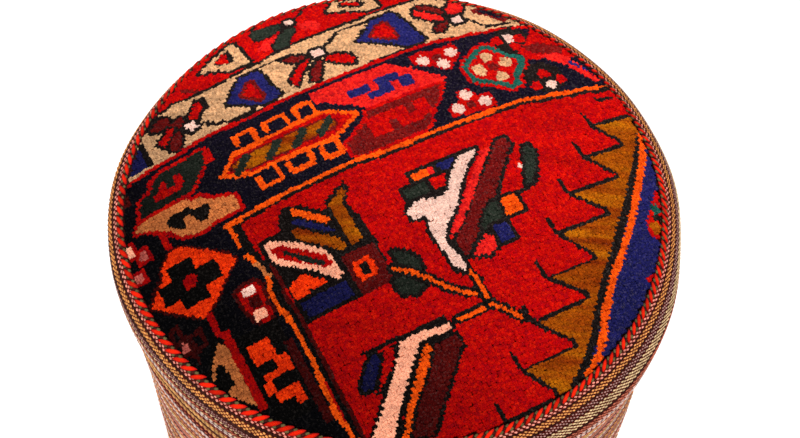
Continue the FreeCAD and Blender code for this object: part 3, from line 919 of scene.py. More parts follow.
def serrated_band(c):
    """Serrated band at the right, and the blue corner beyond it."""
    teeth = ((150, -16), (163, -34), (163, -38), (129, -37), (143, -57), (143, -60), (103, -61), (121, -81),
             (121, -85), (79, -85), (93, -107), (94, -110), (55, -110), (74, -130), (73, -133), (31, -134),
             (49, -155), (48, -158), (8, -158), (22, -180), (21, -183), (-18, -182))
    outer = ((32, -181), (48, -170), (62, -157), (74, -143), (88, -127), (105, -112), (122, -95),
             (138, -80), (150, -66), (168, -47), (176, -36), (FAR, -10))
    c.area("blue", (FAR, -10), *outer[::-1], (0, -FAR), (FAR, -FAR))
    c.area("mustard", (FAR, -16), *teeth, (-18, -FAR), *outer)
    c.line("dark", 2.9, (183, -16), *teeth)
    for u, v in teeth[0::3]:
        c.line("dark", 2.8, (u, v), (u - 1, v + 13))
    c.line("dark", 5.4, *((u + 0.8, v - 0.8) for u, v in outer))
    c.line("orange", 5.2, (186, -28), (178, -40), (172, -50), (157, -67), (142, -84), (126, -101),
           (112, -114), (100, -124), (88, -136), (78, -147), (70, -158), (60, -169), (45, -179))
    c.line("dark", 3.0, (167, 5), (180, 4))
    c.line("dark", 3.0, (170, 12), (182, 14))
    c.area("red", (164, -79), (158, -83), (152, -89), (148, -93), (142, -99), (140, -105), (140, -111),
           (150, -118), (175, -85))
    c.block("teal", 152, -96, 158, -89)
    c.block("dark", 148, -101, 154, -96)
    c.block("mustard", 143, -110, 150, -101)
    c.block("red", 118, -143, 124, -135)


MOTIFS = (outer_band, tan_band, main_border, border_lozenges, boat, border_flowers, left_border,
          field_lines, left_flower, stems, top_flower, bottom_flower, serrated_band)

# The rug

PILE_LIMIT = 14000       # tufts in one piece, so that it stays a light mesh
TUFT_SPREAD = 0.95       # of a quarter knot, from the knot's middle to the middle of a tuft
TUFT_FOOT = 0.62         # width of a tuft at its foot
TUFT_SHOULDER = 0.86     # height of a tuft's widest part
TUFT_PULL = 0.6          # how far from the knot's middle, of the way to its own place, a tuft takes its dye
TUFT_WIDTHS = (0.92, 1.08)   # thinnest and thickest tuft, of the usual one
KNOT_DRIFT = 0.22        # how far knots stray from their places, in mm
TUFT_DRIFT = 0.2         # how far tufts stray besides
KNOT_SHADES = 0.1        # how much the shades of the knots differ
TUFT_SHADES = 0.22       # how much those of the tufts differ besides
NAP = 0.12               # how far the pile leans along the rug
OWN_LEAN = 0.1           # how far a tuft leans its own way
CLIPPED = (-0.3, 0.2)    # usual level of the clipped ends and how much it differs, in mm
EDGE_FROM = 0.97         # of the rug's radius, where the tufts begin to lean out over the seam
EDGE_RUN = 0.03          # of the radius, over which they do so
EDGE_LEAN = (3.0, 3.0, 0.0)
BASE_RISE = 1 * MM       # how far the woven base stands up into the pile
BASE_INSET = 1.5 * MM    # how far its edge keeps inside the rug's
MAP_WIDTH = 2.1          # width of the bake map, of the rug's radius
RUG_SEED = 11
SIDE_SEED = 23


def crown_of(sizes):
    """Radius of the crowned seat's ball and the height of its middle."""
    radius = ball_radius(sizes.rug_radius, sizes.crown)
    return radius, RUG_HIGH.z - radius


def tuft_template():
    """One clipped tuft: a four-sided foot that widens to a shoulder and closes in a low point."""
    fresh()
    bpy.ops.mesh.primitive_cone_add(vertices=4, radius1=TUFT_FOOT, radius2=1.0, depth=TUFT_SHOULDER,
                                    location=(0, 0, TUFT_SHOULDER / 2))
    obj = bpy.context.object
    bpy.ops.object.transform_apply(location=True, rotation=True, scale=True)
    bpy.ops.object.mode_set(mode="EDIT")
    bpy.ops.mesh.select_mode(type="FACE")
    bpy.ops.mesh.select_all(action="DESELECT")
    bpy.ops.object.mode_set(mode="OBJECT")
    for face in obj.data.polygons:
        face.select = face.normal.z > 0.9
    bpy.ops.object.mode_set(mode="EDIT")
    bpy.ops.mesh.poke(offset=1 - TUFT_SHOULDER)
    bpy.ops.object.mode_set(mode="OBJECT")
    return take_template(obj)


def knot_dyes(sizes):
    """Middles of the knots on the rug's axes, in millimetres, and the dye of each knot's four tufts."""
    radius, pitch = (sizes.rug_radius - sizes.knot / 6) / MM, sizes.knot / MM
    count = math.ceil((radius + RUG_REACH.max() / MM) / pitch)
    steps = np.arange(-count, count + 1) * pitch
    u, v = (grid.ravel() for grid in np.meshgrid(steps, steps))
    reach_here = round_about(RUG_REACH, np.arctan2(v, u) + sizes.rug_turn) / MM
    knots = np.stack([u, v], -1)[np.hypot(u, v) < radius + reach_here]
    corners = np.array([(-1, -1), (1, -1), (1, 1), (-1, 1)]) * pitch / 4
    places = knots[:, None] + corners * TUFT_PULL
    chart = KnotChart(places[:, :, 0].ravel(), places[:, :, 1].ravel())
    for motif in MOTIFS:
        motif(chart)
    return knots, corners, chart.dye


def plant_tufts(sizes, knots, corners, rng):
    """Roots, axes and shades of the four tufts of every knot, standing square to the crowned seat."""
    count = len(knots) * len(corners)
    shifted = knots + rng.normal(0.0, KNOT_DRIFT, knots.shape)
    flat = (shifted[:, None] + corners * TUFT_SPREAD).reshape(-1, 2)
    flat = flat + rng.normal(0.0, TUFT_DRIFT, (count, 2))
    cos, sin = math.cos(sizes.rug_turn), math.sin(sizes.rug_turn)
    x = (flat[:, 0] * cos - flat[:, 1] * sin) * MM
    y = (flat[:, 0] * sin + flat[:, 1] * cos) * MM
    ball, middle = crown_of(sizes)
    z = middle + np.sqrt(ball ** 2 - x ** 2 - y ** 2)
    tips = np.stack([x, y, z], -1)
    normal = (tips - (0, 0, middle)) / ball
    nap = np.array([sin * NAP, -cos * NAP, 0.0])
    edge = np.clip((np.hypot(x, y) / sizes.rug_radius - EDGE_FROM) / EDGE_RUN, 0.0, 1.0)[:, None]
    stand = normal + nap + edge * normal * EDGE_LEAN + rng.normal(0.0, OWN_LEAN, (count, 3))
    stand /= np.linalg.norm(stand, axis=1)[:, None]
    tips = tips + normal * rng.normal(*CLIPPED, (count, 1)) * MM
    spin = rng.uniform(0.0, FULL_TURN, count)[:, None]
    side = np.cross(stand, (0.0, 1.0, 0.0))
    side /= np.linalg.norm(side, axis=1)[:, None]
    other = np.cross(stand, side)
    width = sizes.tuft_width * rng.uniform(*TUFT_WIDTHS, (count, 1))
    axes = np.stack([(side * np.cos(spin) + other * np.sin(spin)) * width,
                     (other * np.cos(spin) - side * np.sin(spin)) * width, stand * sizes.pile], 1)
    shades = np.repeat(rng.normal(0.5, KNOT_SHADES, len(knots)), len(corners))
    shades = shades + rng.normal(0.0, TUFT_SHADES, count)
    return tips - stand * sizes.pile, axes, np.clip(shades, 0.0, 1.0)


def flat_map(obj, radius):
    """Bake map of a piece of the seat, laid flat as seen from above."""
    add_map(obj, BAKE_MAP, points_of(obj.data)[:, :2] / (MAP_WIDTH * radius) + 0.5)


class POUF_OT_rug(Operator):
    """Knot the rug: a crowned woven base and the pile of each dye"""

    bl_idname = "pouf.rug"
    bl_label = "Knotted rug"

    def execute(self, context):
        sizes, dyes = context.scene.pouf_sizes, context.scene.pouf_dyes
        rng = np.random.default_rng(RUG_SEED)
        knots, corners, dye = knot_dyes(sizes)
        roots, axes, shades = plant_tufts(sizes, knots, corners, rng)
        template = tuft_template()
        heights = template[0][:, 2]
        pile = []
        for index, name in enumerate(DYES):
            chosen = np.flatnonzero(dye == index)
            parts = np.array_split(chosen, math.ceil(len(chosen) / PILE_LIMIT))
            finish = wool("wool_" + name, getattr(dyes, name), sizes.rug_turn)
            for number, part in enumerate(parts, 1):
                label = f"pile_{name}_{number}" if len(parts) > 1 else "pile_" + name
                obj = copies(label, template, roots[part], axes[part], shades[part])
                add_values(obj, "height", np.tile(heights, len(part)))
                flat_map(obj, sizes.rug_radius)
                dress(obj, finish)
                pile.append(obj)
        self.weave_base(sizes, pile)
        return {"FINISHED"}

    def weave_base(self, sizes, pile):
        ball, middle = crown_of(sizes)
        top = ball - sizes.pile + BASE_RISE
        under = top - sizes.base_cloth
        radii = np.linspace(0.0, sizes.rug_radius - BASE_INSET, 28)
        base = lathe("rug_base", dome(middle, top, radii) + dome(middle, under, radii[::-1]))
        # Dark brown base: painted shade under the pile, where little light reaches
        dress(base, grained("cotton_base", "5A2A20", "341410", (700.0, 700.0, 200.0), 0.9, 0.4))
        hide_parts("rug_top")


# Side cloth. A band is its ground yarn, the yarn of its raised floats, its rows and the width of a row in
# millimetres. Near the rim a row has one width at the right and another at the left, and changes over at
# the front and the back, where the rows that only one side has taper away

RIM_BANDS = (                    # with the width at the right, then the width at the left
    ("black", None, 3, 1.57, 1.47),
    ("maroon", "pink", 2, 1.3, 1.6),
    ("black", None, 1, 1.0, 2.2),
    ("maroon", "gold", 4, 0.95, 1.35),
    ("black", None, 1, 1.2, 4.6),
    ("maroon", "mauve", 4, 0.9, 0.85),
    ("black", None, 1, 0.8, 0),
    ("maroon", "cream", 1, 1.0, 1.2),
    ("maroon", "cream", 5, 1.0, 0),
    ("black", None, 1, 1.8, 0.7),
    ("maroon", "rust", 2, 1.1, 1.4),
    ("maroon", "rust", 3, 1.1, 0),
    ("maroon", "cream", 1, 0, 0.8),
    ("maroon", "white", 1, 1.6, 1.7),
    ("maroon", "rust", 1, 1.2, 0),
    ("maroon", None, 1, 0, 0.5),
    ("maroon", "white", 1, 1.5, 1.6),
    ("maroon", None, 1, 0.6, 1.4),
    ("maroon", "white", 1, 1.5, 0),
    ("maroon", None, 1, 0.6, 0),
    ("maroon", "rust", 1, 1.6, 1.4),
    ("maroon", "rust", 2, 1.6, 0),
    ("maroon", None, 1, 0, 1.3),
    ("maroon", "tan", 1, 1.7, 1.8),
    ("maroon", None, 1, 0.8, 0.7),
    ("maroon", "tan", 1, 1.7, 1.8),
    ("maroon", None, 1, 1.8, 0.7),
    ("maroon", "tan", 1, 1.6, 1.8),
    ("maroon", None, 1, 0.7, 2.0),
    ("olive", None, 1, 0, 1.2),
    ("maroon", None, 1, 0, 2.4),
    ("maroon", "tan", 1, 1.6, 1.7),
    ("maroon", None, 1, 0, 0.6),
    ("maroon", "tan", 1, 0, 1.7),
    ("maroon", "rust", 1, 1.8, 1.6),
    ("maroon", None, 2, 0, 1.5),
    ("maroon", "rust", 1, 0, 1.7),
    ("maroon", None, 2, 0, 1.8),
    ("maroon", "white", 1, 1.8, 2.3),
    ("maroon", None, 1, 0, 0.7),
    ("maroon", "white", 1, 0, 2.2),
    ("maroon", "rust", 2, 2.0, 1.7),
    ("maroon", "rust", 1, 0, 1.7),
    ("maroon", "tan", 1, 0, 1.6),
    ("maroon", "rust", 1, 1.4, 1.6),
    ("rose", "white", 1, 1.4, 2.0),
)
SIDE_BANDS = (
    ("rose", None, 3, 1.8),
    ("maroon", "gold", 1, 1.6),
    ("rust", None, 2, 1.8),
    ("maroon", None, 1, 1.6),
    ("tan", None, 2, 1.8),
    ("rust", "white", 1, 1.7),
    ("rose", None, 2, 1.8),
    ("rust", None, 3, 1.8),
    ("rose", None, 2, 1.9),
    ("black", None, 1, 1.4),
    ("maroon", "pink", 2, 1.7),
    ("black", None, 1, 1.4),
    ("rust", None, 2, 1.8),
    ("tan", None, 2, 1.8),
    ("rust", "white", 1, 1.7),
    ("rose", None, 3, 1.9),
    ("rose", None, 2, 1.8),
    ("black", None, 1, 1.4),
    ("maroon", "gold", 2, 1.6),
    ("black", None, 1, 1.4),
    ("rust", None, 2, 1.8),
)
SIDE_REPEATS = 8                 # more than enough to reach the underside
SIDE_ROW = 1.8 * MM              # usual row of the side
BAR_ROWS = 3                     # rows under the slanting bars
BAR_SLANT = math.radians(30)     # bars of the rim stripe, from the line of the rows
JOIN_SPREAD = 1.0                # how gently the rows of the right run into those of the left
LEAST_ROW = 0.04                 # width left of a row that has tapered away, in mm
LEAST_FLOAT = 0.2 * MM           # narrowest row that still shows its raised yarn
MEASURED = np.arange(0, 121) * MM    # distances down the even line at which the uneven cloth is measured
RIGHT_TILT = -0.25               # floats at the right, away from the rug
LEFT_TILT = -0.11                # floats at the left
FLOAT_DRIFT = 0.03               # how far floats stray along the row, of the pitch
ROW_DRIFT = 0.04 * MM            # how far they stray across it
TILT_DRIFT = 0.06                # how far they stray from their tilt
FLOAT_HALF = 1.3 * MM            # widest a raised float gets, to each side
FLOAT_RISE = 0.6 * MM
LINE_FLOAT = (0.56, 0.46)        # half a float's length, of the pitch, and half its width, of the row
CHAIN_FLOATS = {"gold": (0.31, 0.68), "pink": (0.32, 0.58), "cream": (0.37, 0.6), "mauve": (0.23, 0.62),
                "rust": (0.36, 0.55)}
FLOAT_EDGE_SHADE = 0.6                 # how much painted shade a float gets at its edge
BAR_HALF = (0.74, 0.205)         # length and width of a bar, of the pitch
BAR_RISE = 1.0 * MM
BAR_POINT = 0.25                 # how sharply a bar draws in at its ends
BAR_DRIFT = 0.03                 # how far bars stray from their places, of the pitch
SLANT_DRIFT = 0.05               # how far bars and checks stray from their slant
BAR_COVER = 1.2                  # a bar keeps its length while at least 1 / BAR_COVER of its rows shows
LEAST_BAR = 0.5                  # length left of a bar that the rug's edge covers
CHECK_HALF = (1.5 * MM, 0.95 * MM, 0.5 * MM)
CHECK_STEP = 2.8 * MM
INNER_ROWS = 5                   # rows of the outer face for each of the inner one
INNER_MAP = 0.002                # strip of the bake map that the inner face takes
STITCH_FROM = 2 * MM             # how far above its lower end the seam has its first stitch
STITCH_SLANT = math.radians(35)
STITCH_HALF = np.array((3.9, 0.75, 0.75)) * MM
STITCH_DRIFT = 0.08


class ClothRows:
    """Rows of the cloth from the rug down, their widths at the right and at the left, and their edges."""

    def __init__(self, sizes):
        end = line_length(sizes)
        rim = self.unrolled(RIM_BANDS)
        sides = [(*band, band[-1]) for band in SIDE_BANDS * SIDE_REPEATS]
        widths = np.array([row[2:] for row in rim])
        filling = self.unrolled(sides)[:int((end - widths[:, 0].sum()) / SIDE_ROW)]
        below = np.array([row[2:] for row in filling])
        self.widths = np.concatenate([widths, below * (end - widths.sum(0)) / below.sum(0)])
        self.yarns = [row[:2] for row in rim + filling]
        self.count = len(self.yarns)
        self.turn = np.arange(sizes.segments) / sizes.segments * FULL_TURN
        self.edges = self.laid(sizes, end)

    def unrolled(self, bands):
        """The rows of some bands one by one, as ground yarn, raised yarn and the widths at both sides."""
        return [(ground, raised, *(max(width, LEAST_ROW) * MM for width in widths))
                for ground, raised, rows, *widths in bands for _ in range(rows)]

    def laid(self, sizes, end):
        """Where the rows' edges come at each step of the turn, measured over the uneven cloth; some rows
        taper away between the right and the left."""
        right, left = np.concatenate([np.zeros((1, 2)), np.cumsum(self.widths, axis=0)]).T
        share = np.clip(0.5 - np.cos(self.turn) / JOIN_SPREAD, 0.0, 1.0)[:, None]
        wanted = right + share * (left - right)
        shift, ease = (round_about(values, self.turn)[:, None] for values in (ROW_SHIFT, ROW_EASE))
        drawn = shift + ease * wanted
        wanted += drawn * np.clip(1 - wanted / MEASURED[-1], 0.0, 1.0)
        wanted = np.maximum(wanted, np.arange(self.count + 1) * LEAST_ROW * MM)
        points, _ = on_cloth(sizes, *np.meshgrid(self.turn, MEASURED, indexing="ij"))
        steps = np.linalg.norm(np.diff(points, axis=1), axis=-1)
        true = np.cumsum(np.concatenate([np.zeros((len(steps), 1)), steps], 1), axis=1)
        return np.stack([np.interp(row, [*taken, end], [*MEASURED, end])
                         for row, taken in zip(wanted, true)])

    def edge(self, number, theta):
        """How far down the even line a row begins."""
        return np.interp(theta, self.turn, self.edges[:, number], period=FULL_TURN)

    def bar_middle(self, theta):
        return (self.edge(0, theta) + self.edge(BAR_ROWS, theta)) / 2


class POUF_OT_side_cloth(Operator):
    """Weave the striped side cloth, from the seam at the rug to the underside, with its raised rows"""

    bl_idname = "pouf.side_cloth"
    bl_label = "Side cloth"

    def execute(self, context):
        sizes, yarns = context.scene.pouf_sizes, context.scene.pouf_yarns
        rng = np.random.default_rng(SIDE_SEED)
        rows = ClothRows(sizes)
        finishes = {name: yarn("yarn_" + name, getattr(yarns, name)) for name in PoufYarns.__annotations__}
        raised = self.chains(sizes, rows, finishes, rng)
        raised += self.rim_stripe(sizes, rows, finishes, rng)
        cloth = self.sheet(sizes, yarns, rows)
        dress(cloth, striped_cloth("striped_cloth"))
        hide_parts("side_cover")
        return {"FINISHED"}

    def sheet(self, sizes, yarns, rows):
        """The cloth as a closed sheet: an outer face row by row, and a coarser inner face."""
        count = sizes.segments
        theta = np.arange(count) / count * FULL_TURN + math.pi / 2
        edges = [rows.edge(number, theta) for number in range(rows.count + 1)]
        outer = [np.full(count, -sizes.seam_tuck)] + edges
        inner = outer[:0:-INNER_ROWS] + outer[:1]
        levels = np.array(outer + inner)
        lifts = np.where(np.arange(len(levels)) < len(outer), 0.0, -sizes.cloth)
        points, _ = on_cloth(sizes, np.tile(theta, len(levels)), levels.ravel(), np.repeat(lifts, count))
        row, column = (grid.ravel() for grid in np.indices(levels.shape))
        below, beside = (row + 1) % len(levels), (column + 1) % count
        corners = np.stack([row * count + column, below * count + column, below * count + beside,
                            row * count + beside], -1)
        obj = from_arrays("side_cloth", points, corners.ravel(), np.arange(len(corners)) * 4)
        self.colour_rows(obj, yarns, rows, row)
        along = np.stack([column, column, column + 1, column + 1], -1)
        down = np.stack([row, row + 1, row + 1, row], -1)
        floats = round(FULL_TURN * CLOTH_HIGH.x / sizes.float_pitch)
        self.corner_map(obj, WEAVE_MAP, along / count * floats, down)
        flat = (levels.ravel()[corners] + sizes.seam_tuck) / (line_length(sizes) + sizes.seam_tuck)
        outside = (row < len(outer) - 1)[:, None]
        flat = np.where(outside, flat, INNER_MAP * down / len(levels))
        self.corner_map(obj, BAKE_MAP, along / count, flat)
        return obj

    def colour_rows(self, obj, yarns, rows, row):
        """The ground yarn of every face of the sheet; the inner face shows the plain back of the weave."""
        names = tuple(PoufYarns.__annotations__)
        tints = np.array([getattr(yarns, name) for name in names])
        grounds = [ground for ground, _ in rows.yarns]
        grounds = grounds[:1] + grounds + ["rose"] * (row.max() - rows.count)
        chosen = tints[[names.index(ground) for ground in grounds]][row]
        values = np.concatenate([chosen, np.ones((len(chosen), 1))], 1)
        layer = obj.data.attributes.new("yarn", "FLOAT_COLOR", "CORNER")
        layer.data.foreach_set("color", np.repeat(values, 4, axis=0).astype(np.float32).ravel())

    def corner_map(self, obj, name, across, down):
        layer = obj.data.uv_layers.new(name=name)
        layer.uv.foreach_set("vector", np.stack([across, down], -1).astype(np.float32).ravel())

    def chains(self, sizes, rows, finishes, rng):
        """Raised floats of every chain row, one piece for each yarn, staggered from row to row."""
        fresh()
        bpy.ops.mesh.primitive_ico_sphere_add(subdivisions=1, radius=1.0)
        template = take_template(bpy.context.object)
        count = round(FULL_TURN * CLOTH_HIGH.x / sizes.float_pitch)
        places = {}
        order, before = 0, None
        for number, (_, raised) in enumerate(rows.yarns):
            order, before = (order + 1 if raised == before else 0), raised
            if raised:
                place = np.arange(count) + 0.5 * (order % 2) + rng.normal(0.0, FLOAT_DRIFT, count)
                theta = place / count * FULL_TURN
                found = np.stack([theta, rows.edge(number, theta), rows.edge(number + 1, theta)])
                places.setdefault(raised, []).append(found[:, found[2] - found[1] > LEAST_FLOAT])
        pieces = []
        for name, found in places.items():
            theta, upper, lower = np.concatenate(found, 1)
            tilt = np.where(np.cos(theta) < 0, LEFT_TILT, RIGHT_TILT)
            s = (upper + lower) / 2 + rng.normal(0.0, ROW_DRIFT, theta.size)
            above, below = (on_cloth(sizes, theta, edge)[0] for edge in (upper, lower))
            width = np.linalg.norm(above - below, axis=1)
            long, wide = CHAIN_FLOATS.get(name, LINE_FLOAT)
            half = np.stack([np.full(s.size, sizes.float_pitch * long),
                             np.minimum(width * wide, FLOAT_HALF), np.full(s.size, FLOAT_RISE)], -1)
            turn = tilt + rng.normal(0.0, TILT_DRIFT, s.size)
            pieces.append(self.raise_marks("chain_" + name, template, sizes, theta, s, half, turn,
                                           finishes[name], rng, FLOAT_EDGE_SHADE))
        return pieces

    def wrap_map(self, obj, sizes, theta, s, points):
        """Bake map of raised pieces on the side, laid flat round and down the cloth."""
        long = line_length(sizes) + sizes.seam_tuck
        flat = np.stack([theta / FULL_TURN % 1.0, (s + sizes.seam_tuck) / long], -1)
        at = points_of(obj.data).reshape(-1, points, 3)
        offset = at - at.mean(1, keepdims=True)
        rows = np.stack([-np.sin(theta), np.cos(theta)], -1)
        across = (offset[:, :, :2] * rows[:, None]).sum(-1) / (FULL_TURN * CLOTH_HIGH.x)
        down = -offset[:, :, 2] / line_length(sizes)
        add_map(obj, BAKE_MAP, (flat[:, None] + np.stack([across, down], -1)).reshape(-1, 2))

    def rim_stripe(self, sizes, rows, finishes, rng):
        """Slanting scarlet bars with a row of three checks between each pair, along the edge of the rug."""
        pitches = (sizes.bar_pitch, sizes.left_bar_pitch)
        counts = [round(math.pi * sizes.rug_radius / step) for step in pitches]
        pitch = np.repeat([math.pi / count for count in counts], counts)
        start = np.cumsum(pitch) - math.pi / 2 + rng.normal(0.0, BAR_DRIFT, pitch.size) * pitch
        step = pitch * sizes.rug_radius
        showing = (rows.edge(BAR_ROWS, start) - rows.edge(0, start)) / rows.widths[:BAR_ROWS].sum(0).max()
        long = step * BAR_HALF[0] * np.clip(BAR_COVER * showing, LEAST_BAR, 1.0)
        half = np.stack([long, step * BAR_HALF[1], np.full(step.size, BAR_RISE)], -1)
        bar = self.pointed_bar()
        slant = BAR_SLANT + rng.normal(0.0, SLANT_DRIFT, start.size)
        pieces = [self.raise_marks("rim_bars", bar, sizes, start, rows.bar_middle(start), half, slant,
                                   finishes["scarlet"], rng)]
        check = self.rounded_block()
        for name, spots in {"olive": (-1, 1), "black": (0,)}.items():
            between = start + pitch / 2
            middle = rows.bar_middle(between)
            theta = np.concatenate([between + spot * CHECK_STEP * math.cos(BAR_SLANT) / sizes.rug_radius
                                    for spot in spots])
            s = np.concatenate([middle - spot * CHECK_STEP * math.sin(BAR_SLANT) for spot in spots])
            half = np.tile(CHECK_HALF, (theta.size, 1))
            slant = BAR_SLANT + rng.normal(0.0, SLANT_DRIFT, theta.size)
            pieces.append(self.raise_marks("rim_checks_" + name, check, sizes, theta, s, half, slant,
                                           finishes[name], rng))
        return pieces

    def pointed_bar(self):
        """A bar two units long: a ball on its side, drawn out to a point at both ends."""
        fresh()
        bpy.ops.mesh.primitive_uv_sphere_add(segments=10, ring_count=8, radius=1.0,
                                             rotation=(0.0, math.pi / 2, 0.0))
        bpy.ops.object.transform_apply(location=False, rotation=True, scale=False)
        points, corners, starts = take_template(bpy.context.object)
        points[:, 1:] *= np.clip(1 - points[:, :1] ** 2, 0.0, 1.0) ** BAR_POINT
        return points, corners, starts

    def rounded_block(self):
        """A block two units wide with rounded edges."""
        fresh()
        bpy.ops.mesh.primitive_cube_add(size=2.0)
        bpy.ops.object.mode_set(mode="EDIT")
        bpy.ops.mesh.bevel(offset=0.5, segments=1, affect="EDGES")
        bpy.ops.object.mode_set(mode="OBJECT")
        return take_template(bpy.context.object)

    def raise_marks(self, name, template, sizes, theta, s, half, turn, finish, rng, shade_at_edge=1.0):
        """Copies of a small model laid on the cloth, each with its own size and turn, darker with painted
        shade towards its edges.
        """
        points, axes = on_cloth(sizes, theta, s)
        axes = turned(axes, turn)
        obj = copies(name, template, points, axes * half[:, :, None], rng.uniform(0, 1, theta.size))
        # Painted shade: each copy darker from its top down to its edges
        add_values(obj, "tip", np.tile(shade_at_edge * (1 - np.clip(template[0][:, 2], 0.0, 1.0)), theta.size))
        self.wrap_map(obj, sizes, theta, s, len(template[0]))
        dress(obj, finish)
        return obj


class POUF_OT_back_seam(Operator):
    """Sew the slanting stitches that close the side cloth at the back"""

    bl_idname = "pouf.back_seam"
    bl_label = "Back seam"

    pitch: FloatProperty(name="Pitch", description="From stitch to stitch", default=8 * MM, unit="LENGTH")

    def execute(self, context):
        sizes = context.scene.pouf_sizes
        rng = np.random.default_rng(SIDE_SEED)
        fresh()
        bpy.ops.mesh.primitive_uv_sphere_add(segments=10, ring_count=8, radius=1.0)
        template = take_template(bpy.context.object)
        levels = np.arange(STITCH_LOW.z + STITCH_FROM, STITCH_HIGH.z, self.pitch)
        roll = line_length(sizes, ROLL_RUNS)
        _, wall_top, _ = line_down(sizes, roll)
        s = roll + (float(wall_top) - levels)
        theta = np.full(levels.size, math.pi / 2)
        points, axes = on_cloth(sizes, theta, s)
        axes = turned(axes, STITCH_SLANT + rng.normal(0.0, STITCH_DRIFT, s.size))
        axes = axes * STITCH_HALF[:, None]
        obj = copies("back_stitches", template, points, axes, rng.uniform(0, 1, s.size))
        dress(obj, yarn("sewing_thread", linear("6A2018")))
        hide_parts("side_seam_stitches")
        return {"FINISHED"}


# Fillings

SKIN_GAP = 0.3 * MM              # between the hardboard and the wadding round it, and under the rim roll
FOAM_GAP = 0.4 * MM              # between the foam and the rim roll
CLOTH_GAP = 0.5 * MM             # between the rim roll and the cloth over it
FACE_ONLY = 1 * MM               # points nearer than this to a layer's inner face stay where they are
SOFT_EDGE = 1.5 * MM             # bevel of the side wadding's edges
FOAM_SIDE = 30 * MM              # upright side of the foam
FOAM_EDGE = 6 * MM               # bevel of its edges
FOAM_FOOT = 5 * MM               # how far the bevel goes in under the foam
SEAT_WADDING = 5 * MM            # thickness over the foam
SEAT_EDGE = 176 * MM             # radius at which the seat's wadding runs into the rim roll
ROLL_FROM = 12 * MM              # below the rug's edge, where the roll follows the cloth's line
ROLL_FOOT = 2 * MM               # how far above the wadding's lowest level it leaves that line
ROLL_INSIDE = 26 * MM            # height of the roll against the foam


class POUF_OT_fillings(Operator):
    """Lay in the foam and the fibre wadding"""

    bl_idname = "pouf.fillings"
    bl_label = "Fillings"

    def execute(self, context):
        sizes = context.scene.pouf_sizes
        fibre = grained("fibre_wadding", "EDEBE4", "CFCBC0", (260.0, 260.0, 260.0), 0.95, 0.8)
        foam = grained("seat_foam", "E9DDB4", "CDBB88", (900.0, 900.0, 900.0), 0.95, 0.5)
        self.side_wadding(sizes, fibre)
        self.top_foam(foam)
        self.top_wadding(sizes, fibre)
        return {"FINISHED"}

    def settle(self, obj, sizes, inside):
        """Moves the outer face of a layer in and out with the cloth over it."""
        s = np.linspace(0.0, line_length(sizes) - sizes.turn_under - sizes.corner, 200)
        _, z, _ = line_down(sizes, s)
        for vertex in obj.data.vertices:
            x, y, level = vertex.co
            radius = math.hypot(x, y)
            if radius > inside:
                move = unevenness(sizes, math.atan2(y, x), np.interp(level, z[::-1], s[::-1]))
                vertex.co.xy *= 1 + float(move) / radius

    def side_wadding(self, sizes, finish):
        low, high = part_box("side_wadding")
        outer, inner = high.x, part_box("wall_skin")[1].x + SKIN_GAP
        rim = outer - SOFT_EDGE
        face = [(outer, level) for level in np.linspace(low.z + SOFT_EDGE, high.z - SOFT_EDGE, 40)]
        outline = [(inner, low.z), (rim, low.z)] + face + [(rim, high.z), (inner, high.z)]
        obj = lathe("side_wadding_layer", outline)
        self.settle(obj, sizes, inner + FACE_ONLY)
        dress(obj, finish)
        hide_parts("side_wadding")

    def top_foam(self, finish):
        low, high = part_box("top_foam")
        radius = high.x
        ball = ball_radius(radius, high.z - low.z - FOAM_SIDE)
        crown = dome(high.z - ball, ball, np.linspace(0.0, radius - FOAM_EDGE, 16))
        outline = [(0.0, low.z), (radius - FOAM_FOOT, low.z), (radius, low.z + FOAM_EDGE),
                   (radius, low.z + FOAM_SIDE - FOAM_EDGE)]
        obj = lathe("seat_foam_pad", outline + crown[::-1])
        dress(obj, finish)
        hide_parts("top_foam")

    def top_wadding(self, sizes, finish):
        low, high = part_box("top_wadding")
        _, middle = crown_of(sizes)
        top = high.z - middle
        upper = dome(middle, top, np.linspace(0.0, SEAT_EDGE, 20))
        r, z, heading = line_down(sizes, np.linspace(ROLL_FROM, line_length(sizes, ROLL_RUNS), 30))
        gap = sizes.cloth + CLOTH_GAP
        kept = z > low.z + ROLL_FOOT
        roll = list(zip((r + gap * np.sin(heading))[kept], (z - gap * np.cos(heading))[kept]))
        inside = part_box("top_foam")[1].x + FOAM_GAP
        lower = dome(middle, top - SEAT_WADDING, np.linspace(SEAT_EDGE, 0.0, 20))
        foot = [(inside, low.z + SKIN_GAP), (inside, low.z + ROLL_INSIDE)]
        obj = lathe("seat_wadding_layer", upper + roll + foot + lower)
        self.settle(obj, sizes, inside + FACE_ONLY)
        dress(obj, finish)
        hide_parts("top_wadding")


class POUF_OT_underside(Operator):
    """Stretch the dark lining under the base"""

    bl_idname = "pouf.underside"
    bl_label = "Underside lining"

    def execute(self, context):
        low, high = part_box("dust_cover")
        thick = high.z - low.z
        sag, lift = 0.25 * MM, 0.1 * MM
        radii = np.linspace(0.0, high.x, 24)
        droop = [low.z - sag * math.cos(math.pi / 2 * r / high.x) + lift for r in radii]
        under = list(zip(radii, droop))
        over = [(r, z + thick) for r, z in under]
        obj = lathe("base_lining", under + over[::-1])
        dress(obj, grained("lining_felt", "1C1B1B", "0A0A0A", (900.0, 900.0, 900.0), 0.9, 0.3))
        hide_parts("dust_cover")
        return {"FINISHED"}


